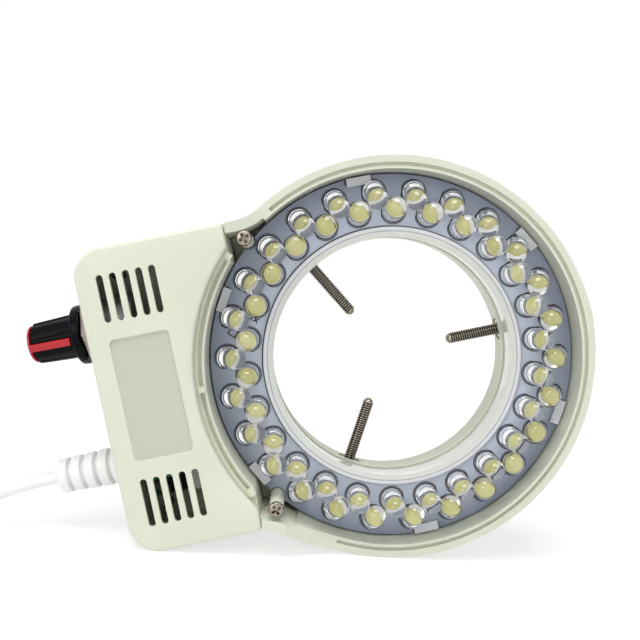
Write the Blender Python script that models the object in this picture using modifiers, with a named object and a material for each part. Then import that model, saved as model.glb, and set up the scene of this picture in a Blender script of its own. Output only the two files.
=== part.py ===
"""Microscope ring light: a ring of white LEDs round an open bore, with its driver box on the left.

The lamp is modelled in its own frame and then stood on its rim. In the lamp's frame X runs to the
right and Y up along the sides of the box, and Z points out of the front, the way the LEDs shine.
Z is zero on the front face of the LED board, and the ring's axis passes through the origin.
The bore's radius drives the whole ring, which grows outwards from it by the widths named below.
All lengths are in metres.
"""

import math

import bmesh
import bpy
import numpy as np
from mathutils import Matrix, Vector

# Clearances and cutting
SEAT_GAP = 0.0003
OVERRUN = 0.0010
WELD_DISTANCE = 0.000001

# Roundness of curved outlines and turned pieces
ARC_STEP = math.radians(5.0)
CORNER_STEP = math.radians(15.0)
SMALL_CORNER_STEP = math.radians(30.0)
SLOT_END_STEP = math.radians(60.0)
FLAT_ANGLE = math.radians(0.5)
RING_SEGMENTS = 60
BORE_SEGMENTS = 40
ROUND_SEGMENTS = 16
SMALL_SEGMENTS = 10
LED_SEGMENTS = 7

# Ring housing, from the bore outwards
BORE_RADIUS = 0.0290
SLEEVE_WALL = 0.0026
BOARD_WIDTH = 0.0124
BOARD_CLEARANCE = 0.0004
RING_WALL = 0.0031
RIM_FRONT = 0.0062
HOUSING_BACK = 0.0095
FLOOR_THICKNESS = 0.0022
FLOOR_BORE_MARGIN = 0.0004
HOUSING_EDGE = 0.0007
RIM_GROOVE_INSET = 0.0006
RIM_GROOVE_WIDTH = 0.0009
RIM_GROOVE_DEPTH = 0.0010
RIM_GROOVE_HALF_ANGLE = math.radians(119.0)

# Driver box beside the ring
BOX_REACH = 0.0205
BOX_TOP = 0.0387
BOX_BOTTOM = 0.0320
BOX_CORNER_RADIUS = 0.0070
BOX_WALL = 0.0020
PARTITION_STANDOFF = 0.0017
UPPER_END_MARGIN = 0.0020
LOWER_END_MARGIN = 0.0011

# Box lid, with its label place and vents set in from the box's left side
LID_FRONT = 0.0120
LID_THICKNESS = 0.0020
LID_EDGE = 0.0008
LID_ARC_INSET = 0.0009
LABEL_INSET = 0.0048
LABEL_WIDTH = 0.0137
LABEL_TOP = 0.0178
LABEL_BOTTOM = 0.0107
LABEL_CORNER_RADIUS = 0.0012
LABEL_DEPTH = 0.0005
VENT_COUNT = 5
VENT_INSET = 0.0057
VENT_PITCH = 0.00298
VENT_WIDTH = 0.0016
VENT_END_INSET = 0.0069
UPPER_VENT_LENGTH = 0.0093
LOWER_VENT_LENGTH = 0.0096

# Necks between ring and box, with the corner posts in their pockets
NECK_FILLET_RADIUS = 0.0120
NECK_WALL = 0.0024
NECK_RAMP_LENGTH = 0.0092
POCKET_TUCK_SHARE = 0.9
POST_RADIUS = 0.0017
POST_TOP_BELOW_LID = 0.0014
POST_PAST_NECK = math.radians(8.2)
UPPER_POST_OUT = 0.0003
LOWER_POST_OUT = -0.0004
LEDGE_FRONT = 0.0090
LEDGE_STEP = 0.0002
LEDGE_GROOVE_START = math.radians(138.5)
LEDGE_GROOVE_END = math.radians(209.5)
LEDGE_RIB_LENGTH = 0.0014
LEDGE_RIB_HEIGHT = 0.0009
LEDGE_RIB_ANGLES = (math.radians(137.0), math.radians(177.0), math.radians(211.0))

# Small screws of the housing
SCREW_HEAD_RADIUS = 0.0018
SCREW_HEAD_HEIGHT = 0.0011
SCREW_HEAD_EDGE_SHARE = 0.35
SCREW_SHANK_RADIUS = 0.0008
SCREW_SHANK_LENGTH = 0.0070
SCREW_CROSS_LENGTH = 0.0020
SCREW_CROSS_WIDTH = 0.0005
SCREW_CROSS_DEPTH = 0.0006

# Clear carrier: the sleeve that forms the bore, its base plate and its snap hooks
BORE_FLARE = 0.0006
SLEEVE_FRONT = 0.0010
CARRIER_SHOULDER = 0.0016
CARRIER_PLATE_THICKNESS = 0.0012
HOOK_COUNT = 6
HOOK_FIRST_ANGLE = math.radians(30.0)
HOOK_WIDTH = 0.0060
HOOK_UPRIGHT = 0.0011
HOOK_LIP = 0.0009
HOOK_LIP_THICKNESS = 0.0009
HOOK_SETBACK = 0.0001

# LED board and its two rows of LEDs
BOARD_THICKNESS = 0.0016
LED_ROW_COUNT = 26
OUTER_ROW_INSET = 0.0041
INNER_ROW_INSET = 0.0035
ROW_FIRST_ANGLE = math.radians(-11.3)
ROW_SHIFT_SHARE = 0.5
OUTER_ROW_TILT = math.radians(25.0)
INNER_ROW_TILT = math.radians(0.0)
LED_STANDOFF = 0.0012
LED_BODY_RADIUS = 0.0025
LED_HEIGHT = 0.0086
LED_DOME_SHOULDER_SHARE = 0.72
LED_LEAD_SPAN = 0.0030
LED_LEAD_THICKNESS = 0.0005

# Collar behind the ring, with its brass bushes, fixing screws and thumb screws
COLLAR_STEP = 0.0010
COLLAR_WALL = 0.0050
COLLAR_BACK = 0.0170
COLLAR_EDGE = 0.0005
THUMB_COUNT = 3
THUMB_DEPTH = 0.0132
THUMB_REACHES = (0.0129, 0.0158, 0.0160)
THUMB_ROD_RADIUS = 0.0015
THUMB_ROD_LENGTH = 0.0255
THUMB_TIP_CHAMFER = 0.0004
THUMB_HEAD_RADIUS = 0.0033
THUMB_HEAD_LENGTH = 0.0060
THUMB_HEAD_EDGE = 0.0005
BUSH_RADIUS = 0.0026
COLLAR_SCREW_FIRST_ANGLE = math.radians(60.0)
COLLAR_SCREW_HEAD_RADIUS = 0.0017

# Screws that hold the lid from behind, and the lid's own posts
LID_POST_RADIUS = 0.0026
LID_SCREW_SHANK_RADIUS = 0.0010
LID_SCREW_HEAD_RADIUS = 0.0022
LID_SCREW_HEAD_HEIGHT = 0.0012
LID_SCREW_LENGTH = 0.0110
LID_POST_INSET = 0.0065
LID_POST_EDGE_INSET = 0.0060
LID_POST_FROM_END = 0.0098

# Dimmer: potentiometer, nut, shaft and knob
KNOB_Y = 0.0201
SIDE_AXIS_Z = 0.0012
POT_RADIUS = 0.0078
POT_LENGTH = 0.0080
BUSHING_RADIUS = 0.0040
BUSHING_REACH = 0.0023
SHAFT_RADIUS = 0.0030
SHAFT_DEPTH_IN_POT = 0.0040
NUT_THICKNESS = 0.0020
NUT_RADIUS = 0.0064
NUT_SIDES = 6
KNOB_BASE = 0.0026
KNOB_SKIRT_RADIUS = 0.00715
KNOB_SKIRT_THICKNESS = 0.0021
KNOB_SKIRT_CHAMFER = 0.0005
KNOB_BODY_RADIUS = 0.0054
KNOB_TIP_RADIUS = 0.0049
KNOB_BODY_SIDES = 12
KNOB_TIP = 0.0158
KNOB_CAP_THICKNESS = 0.0008
KNOB_CAP_RADIUS = 0.0044
KNOB_BORE_DEPTH = 0.0098
KNOB_STRIPE_WIDTH = 0.0017
KNOB_STRIPE_PROUD = 0.0003
KNOB_STRIPE_SEAT_RADIUS = 0.0040
KNOB_STRIPE_END_GAP = 0.0006
KNOB_STRIPE_ANGLE = math.radians(-10.0)

# Strain relief moulded on the cord
RELIEF_Y = -0.0124
RELIEF_LENGTH = 0.0162
RELIEF_ROOT_RADIUS = 0.0046
RELIEF_TIP_RADIUS = 0.0040
RELIEF_NECK_RADIUS = 0.0031
RELIEF_FLANGE_RADIUS = 0.0044
RELIEF_FLANGE_THICKNESS = 0.0015
RELIEF_GROOVE_COUNT = 4
RELIEF_GROOVE_PITCH = 0.0031
RELIEF_GROOVE_WIDTH = 0.0009
RELIEF_GROOVE_DEPTH = 0.0011
RELIEF_TIP_TO_GROOVE = 0.0024
RELIEF_TIP_EDGE = 0.00055

# Driver board and what is soldered on it; each place is an inset from the box's left side and a height
DRIVER_INSET = 0.0033
DRIVER_WIDTH = 0.0144
DRIVER_TOP = 0.0114
DRIVER_BOTTOM = 0.0230
DRIVER_FRONT = 0.0036
DRIVER_THICKNESS = 0.0016
DRIVER_POST_RADIUS = 0.0022
DRIVER_POST_INSET_X = 0.0028
DRIVER_POST_INSET_Y = 0.0026
DRIVER_SCREW_SHANK_LENGTH = 0.0034
TERMINAL_SIZE = (0.0070, 0.0096, 0.0080)
TERMINAL_INSET = 0.0093
FUSE_RADIUS = 0.0017
FUSE_LENGTH = 0.0090
FUSE_CAP_LENGTH = 0.0020
FUSE_CAP_LIP = 0.0002
FUSE_PLACE = (0.0153, -0.0124)
CAN_RADIUS = 0.0032
CAN_HEIGHT = 0.0105
CAN_CRIMP = 0.0003
CAN_CRIMP_HEIGHT = 0.0018
CAN_PLACE = (0.0141, -0.0034)
RECTIFIER_SIZE = (0.0056, 0.0044, 0.0024)
RECTIFIER_PLACE = (0.0072, -0.0040)
TRANSFORMER_SIZE = (0.0076, 0.0064, 0.0056)
TRANSFORMER_COIL_SIZE = (0.0056, 0.0050, 0.0084)
TRANSFORMER_COIL_LIFT = 0.0002
TRANSFORMER_PLACE = (0.0121, 0.0033)
FILTER_SIZE = (0.0034, 0.0086, 0.0070)
FILTER_PLACE = (0.0058, 0.0044)
CHIP_SIZE = (0.0044, 0.0040, 0.0016)
CHIP_PLACE = (0.0105, -0.0203)
SOCKET_SIZE = (0.0040, 0.0052, 0.0050)
SOCKET_PLACE = (0.0153, -0.0195)
COMPONENT_EDGE = 0.0003

# Wires inside
WIRE_RADIUS = 0.0005
WIRE_PITCH = 0.0018
WIRE_POINTS = 10
WIRE_LANDING = 0.0030
POT_WIRE_COUNT = 3
POT_WIRE_POINTS = 5
POT_WIRE_INSET = 0.0055
WIRE_SLOT_LENGTH = 0.0050
WIRE_SLOT_HEIGHT = 0.0036
WIRE_SLOT_ANGLE = math.radians(203.6)
WIRE_SLOT_Z = -0.0034

# Mains cord, folded into a tied hank for storage, with its plug lying on the hank
CORD_DIAMETER = 0.0032
CORD_BEVEL_RESOLUTION = 2
CORD_POINTS = 14
ROUTE_SAMPLES = 24
HANK_BEVEL_RESOLUTION = 1
HANK_POINTS_PER_LOOP = 24
HANK_LAYERS = 4
HANK_LOOPS_PER_LAYER = 2
HANK_LOOP_PITCH = 0.00385
HANK_LAYER_PITCH = 0.00375
HANK_RUN = 0.0435
HANK_FOLD_RADIUS = 0.0169
HANK_WAIST_DRAW = 0.0040
HANK_CENTRE_X = -0.1262
HANK_CENTRE_Y = 0.0
HANK_START_TURN = math.radians(29.0)
TIE_WIDTH = 0.0040
TIE_THICKNESS = 0.0006
TIE_CORNER_RADIUS = 0.0008
FLOOR_GAP = 0.0001
PLUG_LENGTH = 0.0200
PLUG_WIDTH = 0.0200
PLUG_HEIGHT = 0.0130
PLUG_EDGE = 0.0020
PLUG_TAIL_LENGTH = 0.0090
PLUG_TAIL_RADIUS = 0.0036
PLUG_TAIL_TIP_RADIUS = 0.0026
PLUG_PIN_SPACING = 0.0127
PLUG_PIN_LENGTH = 0.0160
PLUG_PIN_WIDTH = 0.0063
PLUG_PIN_THICKNESS = 0.0015
PLUG_PIN_SOCKET_DEPTH = 0.0020
PLUG_X_FROM_FOLD = 0.0006
PLUG_Y_FROM_CENTRE = 0.0082

# The cord's route from the strain relief to the hank, and from the hank to the plug
CORD_ROUTE = (
    (-0.0635, -0.0037, 0.0112),
    (-0.0687, -0.0037, 0.0093),
    (-0.0739, -0.0040, 0.0071),
    (-0.0789, -0.0053, 0.0050),
    (-0.0840, -0.0078, 0.0035),
    (-0.0893, -0.0109, 0.0028),
)
TAIL_ROUTE = (
    (-0.1534, -0.0172, 0.0139),
    (-0.1580, -0.0154, 0.0152),
    (-0.1623, -0.0110, 0.0169),
    (-0.1640, -0.0046, 0.0190),
    (-0.1623, 0.0018, 0.0209),
    (-0.1580, 0.0062, 0.0224),
    (-0.1534, 0.0081, 0.0231),
)

# Worked out from the sizes above
sleeve_radius = BORE_RADIUS + SLEEVE_WALL
board_inner_radius = sleeve_radius + SEAT_GAP
board_outer_radius = board_inner_radius + BOARD_WIDTH
trough_radius = board_outer_radius + BOARD_CLEARANCE
ring_radius = trough_radius + RING_WALL
floor_bore_radius = BORE_RADIUS + FLOOR_BORE_MARGIN
rim_groove_inner_radius = trough_radius + RIM_GROOVE_INSET
outer_row_radius = board_outer_radius - OUTER_ROW_INSET
inner_row_radius = board_inner_radius + INNER_ROW_INSET
collar_inner_radius = BORE_RADIUS + COLLAR_STEP
collar_outer_radius = collar_inner_radius + COLLAR_WALL
partition_radius = ring_radius + PARTITION_STANDOFF
lid_arc_radius = ring_radius - LID_ARC_INSET
ledge_radius = lid_arc_radius - LEDGE_STEP
box_left = ring_radius + BOX_REACH
driver_left = box_left - DRIVER_INSET
driver_right = driver_left - DRIVER_WIDTH
floor_top = FLOOR_THICKNESS - HOUSING_BACK
lid_under = LID_FRONT - LID_THICKNESS
wall_top = lid_under - SEAT_GAP
post_top = LID_FRONT - POST_TOP_BELOW_LID
cord_radius = CORD_DIAMETER / 2
driver_top = -DRIVER_FRONT
component_base = driver_top + SEAT_GAP


def lid_end_x(height, margin):
    """How far left of the ring's axis the lid ends, by where the partition meets a box wall."""
    return math.sqrt(partition_radius**2 - (height - BOX_WALL) ** 2) + margin - BOX_WALL


def fillet_centre_x(height):
    """How far left of the ring's axis a neck fillet is centred, where it leaves the ring and a box side."""
    reach = ring_radius + NECK_FILLET_RADIUS
    drop = height + NECK_FILLET_RADIUS
    return math.sqrt(reach * reach - drop * drop)


def post_place(fillet, side, out):
    """A corner post just past the neck, on the trough's edge."""
    angle = math.atan2(fillet.y, fillet.x) + side * POST_PAST_NECK
    radius = trough_radius + out
    return (radius * math.cos(angle), radius * math.sin(angle))


lid_upper_end = lid_end_x(BOX_TOP, UPPER_END_MARGIN)
lid_lower_end = lid_end_x(BOX_BOTTOM, LOWER_END_MARGIN)
neck_ramp_end = lid_upper_end - NECK_RAMP_LENGTH
upper_fillet = Vector((-fillet_centre_x(BOX_TOP), BOX_TOP + NECK_FILLET_RADIUS))
lower_fillet = Vector((-fillet_centre_x(BOX_BOTTOM), -BOX_BOTTOM - NECK_FILLET_RADIUS))
post_places = (
    post_place(upper_fillet, 1, UPPER_POST_OUT),
    post_place(lower_fillet, -1, LOWER_POST_OUT),
)
lid_post_places = (
    (LID_POST_INSET - box_left, LID_POST_EDGE_INSET - BOX_BOTTOM),
    (-lid_upper_end - LID_POST_FROM_END, BOX_TOP - LID_POST_EDGE_INSET),
    (LID_POST_INSET - box_left, BOX_TOP - LID_POST_EDGE_INSET),
)

# The lamp leans over until the ring and the box's lower corner both touch the table
corner_x = box_left - BOX_CORNER_RADIUS
corner_y = BOX_BOTTOM - BOX_CORNER_RADIUS
lean = math.asin((ring_radius - BOX_CORNER_RADIUS) / math.hypot(corner_x, corner_y)) - math.atan2(
    corner_y, corner_x
)

# The origin is under the middle of the lamp, without its cord
knob_corner = Vector((-box_left - KNOB_TIP, KNOB_Y + KNOB_CAP_RADIUS))
left_reach = knob_corner.y * math.sin(lean) - knob_corner.x * math.cos(lean)
lamp_x = (left_reach - ring_radius) / 2
lamp_y = (LID_FRONT - COLLAR_BACK) / 2


def start_empty_scene():
    for old in list(bpy.data.objects):
        bpy.data.objects.remove(old, do_unlink=True)


def new_collection(name):
    collection = bpy.data.collections.new(name)
    bpy.context.scene.collection.children.link(collection)
    return collection


start_empty_scene()
parts = new_collection("microscope_ring_light")
cutters = new_collection("cutters")

lamp = bpy.data.objects.new("lamp_frame", None)
lamp.matrix_world = (
    Matrix.Translation((lamp_x, lamp_y, ring_radius))
    @ Matrix.Rotation(-lean, 4, "Y")
    @ Matrix.Rotation(math.radians(90.0), 4, "X")
)
parts.objects.link(lamp)


def linear(channel):
    if channel <= 0.04045:
        return channel / 12.92
    return ((channel + 0.055) / 1.055) ** 2.4


def new_material(name, colour, roughness, metallic=0.0):
    """A Principled material from an sRGB colour written as RRGGBB."""
    material = bpy.data.materials.new(name)
    material.use_nodes = True
    shader = material.node_tree.nodes["Principled BSDF"]
    channels = [linear(int(colour[i : i + 2], 16) / 255) for i in (0, 2, 4)]
    shader.inputs["Base Color"].default_value = (*channels, 1.0)
    shader.inputs["Roughness"].default_value = roughness
    shader.inputs["Metallic"].default_value = metallic
    return material


ivory_abs = new_material("ivory_abs", "DCDDC6", 0.45)
clear_plastic = new_material("clear_polycarbonate", "EEF2F2", 0.1)
board_white = new_material("solder_mask_white", "A9B2BF", 0.35)
steel = new_material("nickel_plated_steel", "B9B6AE", 0.3, 1.0)
brass = new_material("brass", "B8924A", 0.35, 1.0)
black_plastic = new_material("black_plastic", "17171A", 0.35)
red_plastic = new_material("red_plastic", "B01420", 0.4)
white_pvc = new_material("white_pvc", "F2F2EF", 0.45)
green_board = new_material("green_fibreglass", "2E6B3C", 0.4)
grey_metal = new_material("grey_metal", "8E8F92", 0.4, 1.0)
green_plastic = new_material("green_plastic", "2F7D4A", 0.4)
blue_sleeve = new_material("blue_sleeve", "22407A", 0.35)
yellow_tape = new_material("yellow_tape", "D8B53A", 0.5)
orange_film = new_material("orange_film", "B8461E", 0.4)
glass_tube = new_material("glass_tube", "D9DEDC", 0.1)
red_wire = new_material("red_wire", "B3202A", 0.45)
black_wire = new_material("black_wire", "1C1C1E", 0.45)
white_wire = new_material("white_wire", "E6E6E2", 0.45)


def add_object(name, mesh, material=None, collection=parts, parent=lamp):
    thing = bpy.data.objects.new(name, mesh)
    collection.objects.link(thing)
    thing.parent = parent
    if material is not None:
        mesh.materials.append(material)
    if collection is cutters:
        thing.hide_render = True
        thing.display_type = "WIRE"
    return thing


def shade(thing, angle=math.radians(35.0)):
    thing.data.shade_smooth()
    thing.data.set_sharp_from_angle(angle=angle)


def mesh_of(bm, name):
    mesh = bpy.data.meshes.new(name)
    bm.to_mesh(mesh)
    bm.free()
    return mesh


def arc(centre, radius, start, end, step=ARC_STEP):
    """Points on an arc from one angle to another, either way round."""
    count = max(1, math.ceil(abs(end - start) / step))
    angles = np.linspace(start, end, count + 1)
    return [(centre[0] + radius * math.cos(a), centre[1] + radius * math.sin(a)) for a in angles]


def circle(radius, centre=(0.0, 0.0), segments=RING_SEGMENTS):
    return arc(centre, radius, 0.0, math.tau, math.tau / segments)[:-1]


def slot(x, bottom, top, width):
    """A slot with round ends, standing on its end."""
    step = SLOT_END_STEP
    return arc((x, top), width / 2, 0.0, math.pi, step) + arc((x, bottom), width / 2, math.pi, math.tau, step)


def rounded_rectangle(left, right, bottom, top, radius):
    corners = (
        ((right - radius, top - radius), 0.0),
        ((left + radius, top - radius), math.radians(90.0)),
        ((left + radius, bottom + radius), math.radians(180.0)),
        ((right - radius, bottom + radius), math.radians(270.0)),
    )
    points = []
    for centre, start in corners:
        points += arc(centre, radius, start, start + math.radians(90.0), SMALL_CORNER_STEP)
    return points


def prism_mesh(name, outlines, low, high):
    """A flat shape, with any holes, drawn as a 2D curve and extruded between two heights."""
    curve = bpy.data.curves.new(name, "CURVE")
    curve.dimensions = "2D"
    curve.fill_mode = "BOTH"
    curve.extrude = (high - low) / 2
    for outline in outlines:
        spline = curve.splines.new("POLY")
        spline.points.add(len(outline) - 1)
        for point, (x, y) in zip(spline.points, outline):
            point.co = (x, y, 0.0, 1.0)
        spline.use_cyclic_u = True
    drawn = bpy.data.objects.new(name, curve)
    bpy.context.scene.collection.objects.link(drawn)
    bpy.context.view_layer.update()
    mesh = bpy.data.meshes.new_from_object(drawn.evaluated_get(bpy.context.evaluated_depsgraph_get()))
    bpy.data.objects.remove(drawn)
    bpy.data.curves.remove(curve)
    bm = bmesh.new()
    bm.from_mesh(mesh)
    bmesh.ops.remove_doubles(bm, verts=bm.verts, dist=WELD_DISTANCE)
    bmesh.ops.dissolve_limit(bm, verts=bm.verts, edges=bm.edges, angle_limit=FLAT_ANGLE)
    bmesh.ops.translate(bm, verts=bm.verts, vec=(0.0, 0.0, (low + high) / 2))
    bmesh.ops.recalc_face_normals(bm, faces=bm.faces)
    bm.to_mesh(mesh)
    bm.free()
    mesh.name = name
    return mesh


def prism(name, outlines, low, high, material=None, collection=parts):
    return add_object(name, prism_mesh(name, outlines, low, high), material, collection)


def add_block(bm, size, centre, turn=None):
    """A box of the given size in a bmesh, turned about Z if asked."""
    made = bmesh.ops.create_cube(bm, size=1.0)
    place = Matrix.Translation(centre)
    if turn is not None:
        place = Matrix.Rotation(turn, 4, "Z") @ place
    bmesh.ops.transform(bm, matrix=place @ Matrix.Diagonal((*size, 1.0)), verts=made["verts"])


def add_rod(bm, radius, start, end, segments=SMALL_SEGMENTS, end_radius=None):
    """A cylinder or cone between two points."""
    start, end = Vector(start), Vector(end)
    along = end - start
    place = Matrix.Translation((start + end) / 2) @ along.to_track_quat("Z", "Y").to_matrix().to_4x4()
    bmesh.ops.create_cone(
        bm,
        cap_ends=True,
        segments=segments,
        radius1=radius,
        radius2=radius if end_radius is None else end_radius,
        depth=along.length,
        matrix=place,
    )


def block(name, size, centre, material=None, collection=parts, edge=None):
    bm = bmesh.new()
    add_block(bm, size, centre)
    thing = add_object(name, mesh_of(bm, name), material, collection)
    if edge is not None:
        soften(thing, edge)
    return thing


def rod(name, radius, start, end, material=None, collection=parts, segments=ROUND_SEGMENTS):
    bm = bmesh.new()
    add_rod(bm, radius, start, end, segments)
    thing = add_object(name, mesh_of(bm, name), material, collection)
    if collection is parts:
        shade(thing)
    return thing


def turned(name, profile, segments, material=None, collection=parts, ring=False):
    """A turned piece about Z, from (radius, height) points that run down its outer side."""
    mesh = bpy.data.meshes.new(name)
    edges = [(i, i + 1) for i in range(len(profile) - 1)]
    if ring:
        edges.append((len(profile) - 1, 0))
    mesh.from_pydata([(radius, 0.0, height) for radius, height in profile], edges, [])
    thing = add_object(name, mesh, material, collection)
    screw = thing.modifiers.new("Screw", "SCREW")
    screw.axis = "Z"
    screw.steps = segments
    screw.render_steps = segments
    screw.use_merge_vertices = True
    screw.merge_threshold = WELD_DISTANCE
    screw.use_smooth_shade = True
    return thing


def soften(thing, width, segments=2):
    bevel = thing.modifiers.new("Bevel", "BEVEL")
    bevel.width = width
    bevel.segments = segments
    bevel.limit_method = "ANGLE"
    bevel.angle_limit = math.radians(40.0)
    return bevel


def combine(thing, other, operation="DIFFERENCE"):
    modifier = thing.modifiers.new(operation.title(), "BOOLEAN")
    modifier.object = other
    modifier.operation = operation
    modifier.solver = "EXACT"


def apply_modifiers(thing):
    """The object's mesh as its modifiers leave it."""
    bpy.context.view_layer.update()
    mesh = bpy.data.meshes.new_from_object(thing.evaluated_get(bpy.context.evaluated_depsgraph_get()))
    thing.modifiers.clear()
    thing.data = mesh


def outward(thing):
    """Turns a piece so that its own Z points out of the box's left side, from that side's face."""
    thing.rotation_euler = (0.0, math.radians(-90.0), 0.0)
    return thing


def tube(name, points, radius, material, resolution=CORD_BEVEL_RESOLUTION, parent=lamp):
    """A round tube along its points, with filled ends."""
    curve = bpy.data.curves.new(name, "CURVE")
    curve.dimensions = "3D"
    curve.bevel_depth = radius
    curve.bevel_resolution = resolution
    curve.use_fill_caps = True
    spline = curve.splines.new("POLY")
    spline.points.add(len(points) - 1)
    for point, place in zip(spline.points, points):
        point.co = (*place, 1.0)
        point.tilt = 0.0
    curve.materials.append(material)
    thing = bpy.data.objects.new(name, curve)
    parts.objects.link(thing)
    thing.parent = parent
    return thing


def smooth_route(route, count):
    """Points at even steps along one smooth curve through a route's points."""
    route = np.array(route, dtype=float)
    padded = np.vstack([2 * route[0] - route[1], route, 2 * route[-1] - route[-2]])
    fine = []
    for before, start, end, after in zip(padded, padded[1:], padded[2:], padded[3:]):
        for t in np.linspace(0.0, 1.0, ROUTE_SAMPLES, endpoint=False):
            fine.append(
                (2 * start + (end - before) * t + (2 * before - 5 * start + 4 * end - after) * t**2
                 + (3 * start - before - 3 * end + after) * t**3) / 2
            )
    fine.append(route[-1])
    fine = np.array(fine)
    walked = np.concatenate([[0.0], np.cumsum(np.linalg.norm(np.diff(fine, axis=0), axis=1))])
    steps = np.linspace(0.0, walked[-1], count)
    return [tuple(np.interp(steps, walked, fine[:, axis])[i] for axis in range(3)) for i in range(count)]


# Outlines of the housing


def housing_outline():
    """The ring, its two necks and the box in one outline, counter-clockwise."""
    upper_angle = math.atan2(upper_fillet.y, upper_fillet.x)
    lower_angle = math.atan2(lower_fillet.y, lower_fillet.x)
    ring = arc((0.0, 0.0), ring_radius, lower_angle, upper_angle)
    upper_neck = arc(
        upper_fillet, NECK_FILLET_RADIUS, upper_angle + math.pi, math.radians(270.0), CORNER_STEP / 2
    )
    upper_corner = arc(
        (-corner_x, BOX_TOP - BOX_CORNER_RADIUS),
        BOX_CORNER_RADIUS,
        math.radians(90.0),
        math.radians(180.0),
        CORNER_STEP,
    )
    lower_corner = arc(
        (-corner_x, -corner_y), BOX_CORNER_RADIUS, math.radians(180.0), math.radians(270.0), CORNER_STEP
    )
    lower_neck = arc(
        lower_fillet, NECK_FILLET_RADIUS, math.radians(90.0), lower_angle + math.pi, CORNER_STEP / 2
    )
    return ring + upper_neck[1:] + upper_corner + lower_corner + lower_neck[:-1]


def box_outline(inset, arc_radius, upper_end, lower_end):
    """The box alone, closed on the right by an arc about the ring's axis."""
    radius = BOX_CORNER_RADIUS - inset
    top, bottom = BOX_TOP - inset, -BOX_BOTTOM + inset
    upper_corner = arc(
        (-corner_x, BOX_TOP - BOX_CORNER_RADIUS), radius, math.radians(90.0), math.radians(180.0), CORNER_STEP
    )
    lower_corner = arc(
        (-corner_x, -corner_y), radius, math.radians(180.0), math.radians(270.0), CORNER_STEP
    )
    lower_angle = math.tau - math.acos(-lower_end / arc_radius)
    upper_angle = math.acos(-upper_end / arc_radius)
    right_arc = arc((0.0, 0.0), arc_radius, lower_angle, upper_angle)
    return [(-upper_end, top)] + upper_corner + lower_corner + [(-lower_end, bottom)] + right_arc


def pocket_outline(partition_x, fillet, side):
    """A corner pocket between the box's end wall and a neck, which opens into the trough."""
    inner_radius = NECK_FILLET_RADIUS + NECK_WALL
    ring_angle = math.atan2(-fillet.y, -fillet.x)
    across = max(partition_x, fillet.x)
    start_angle = -side * math.acos((across - fillet.x) / inner_radius)
    curve = arc(fillet, inner_radius, start_angle, ring_angle, CORNER_STEP / 2)
    height = curve[0][1]
    inside = math.sqrt(trough_radius**2 - partition_x**2) - OVERRUN
    end = Vector(curve[-1])
    return [(partition_x, side * inside), (partition_x, height)] + curve + [tuple(end * POCKET_TUCK_SHARE)]


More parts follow.
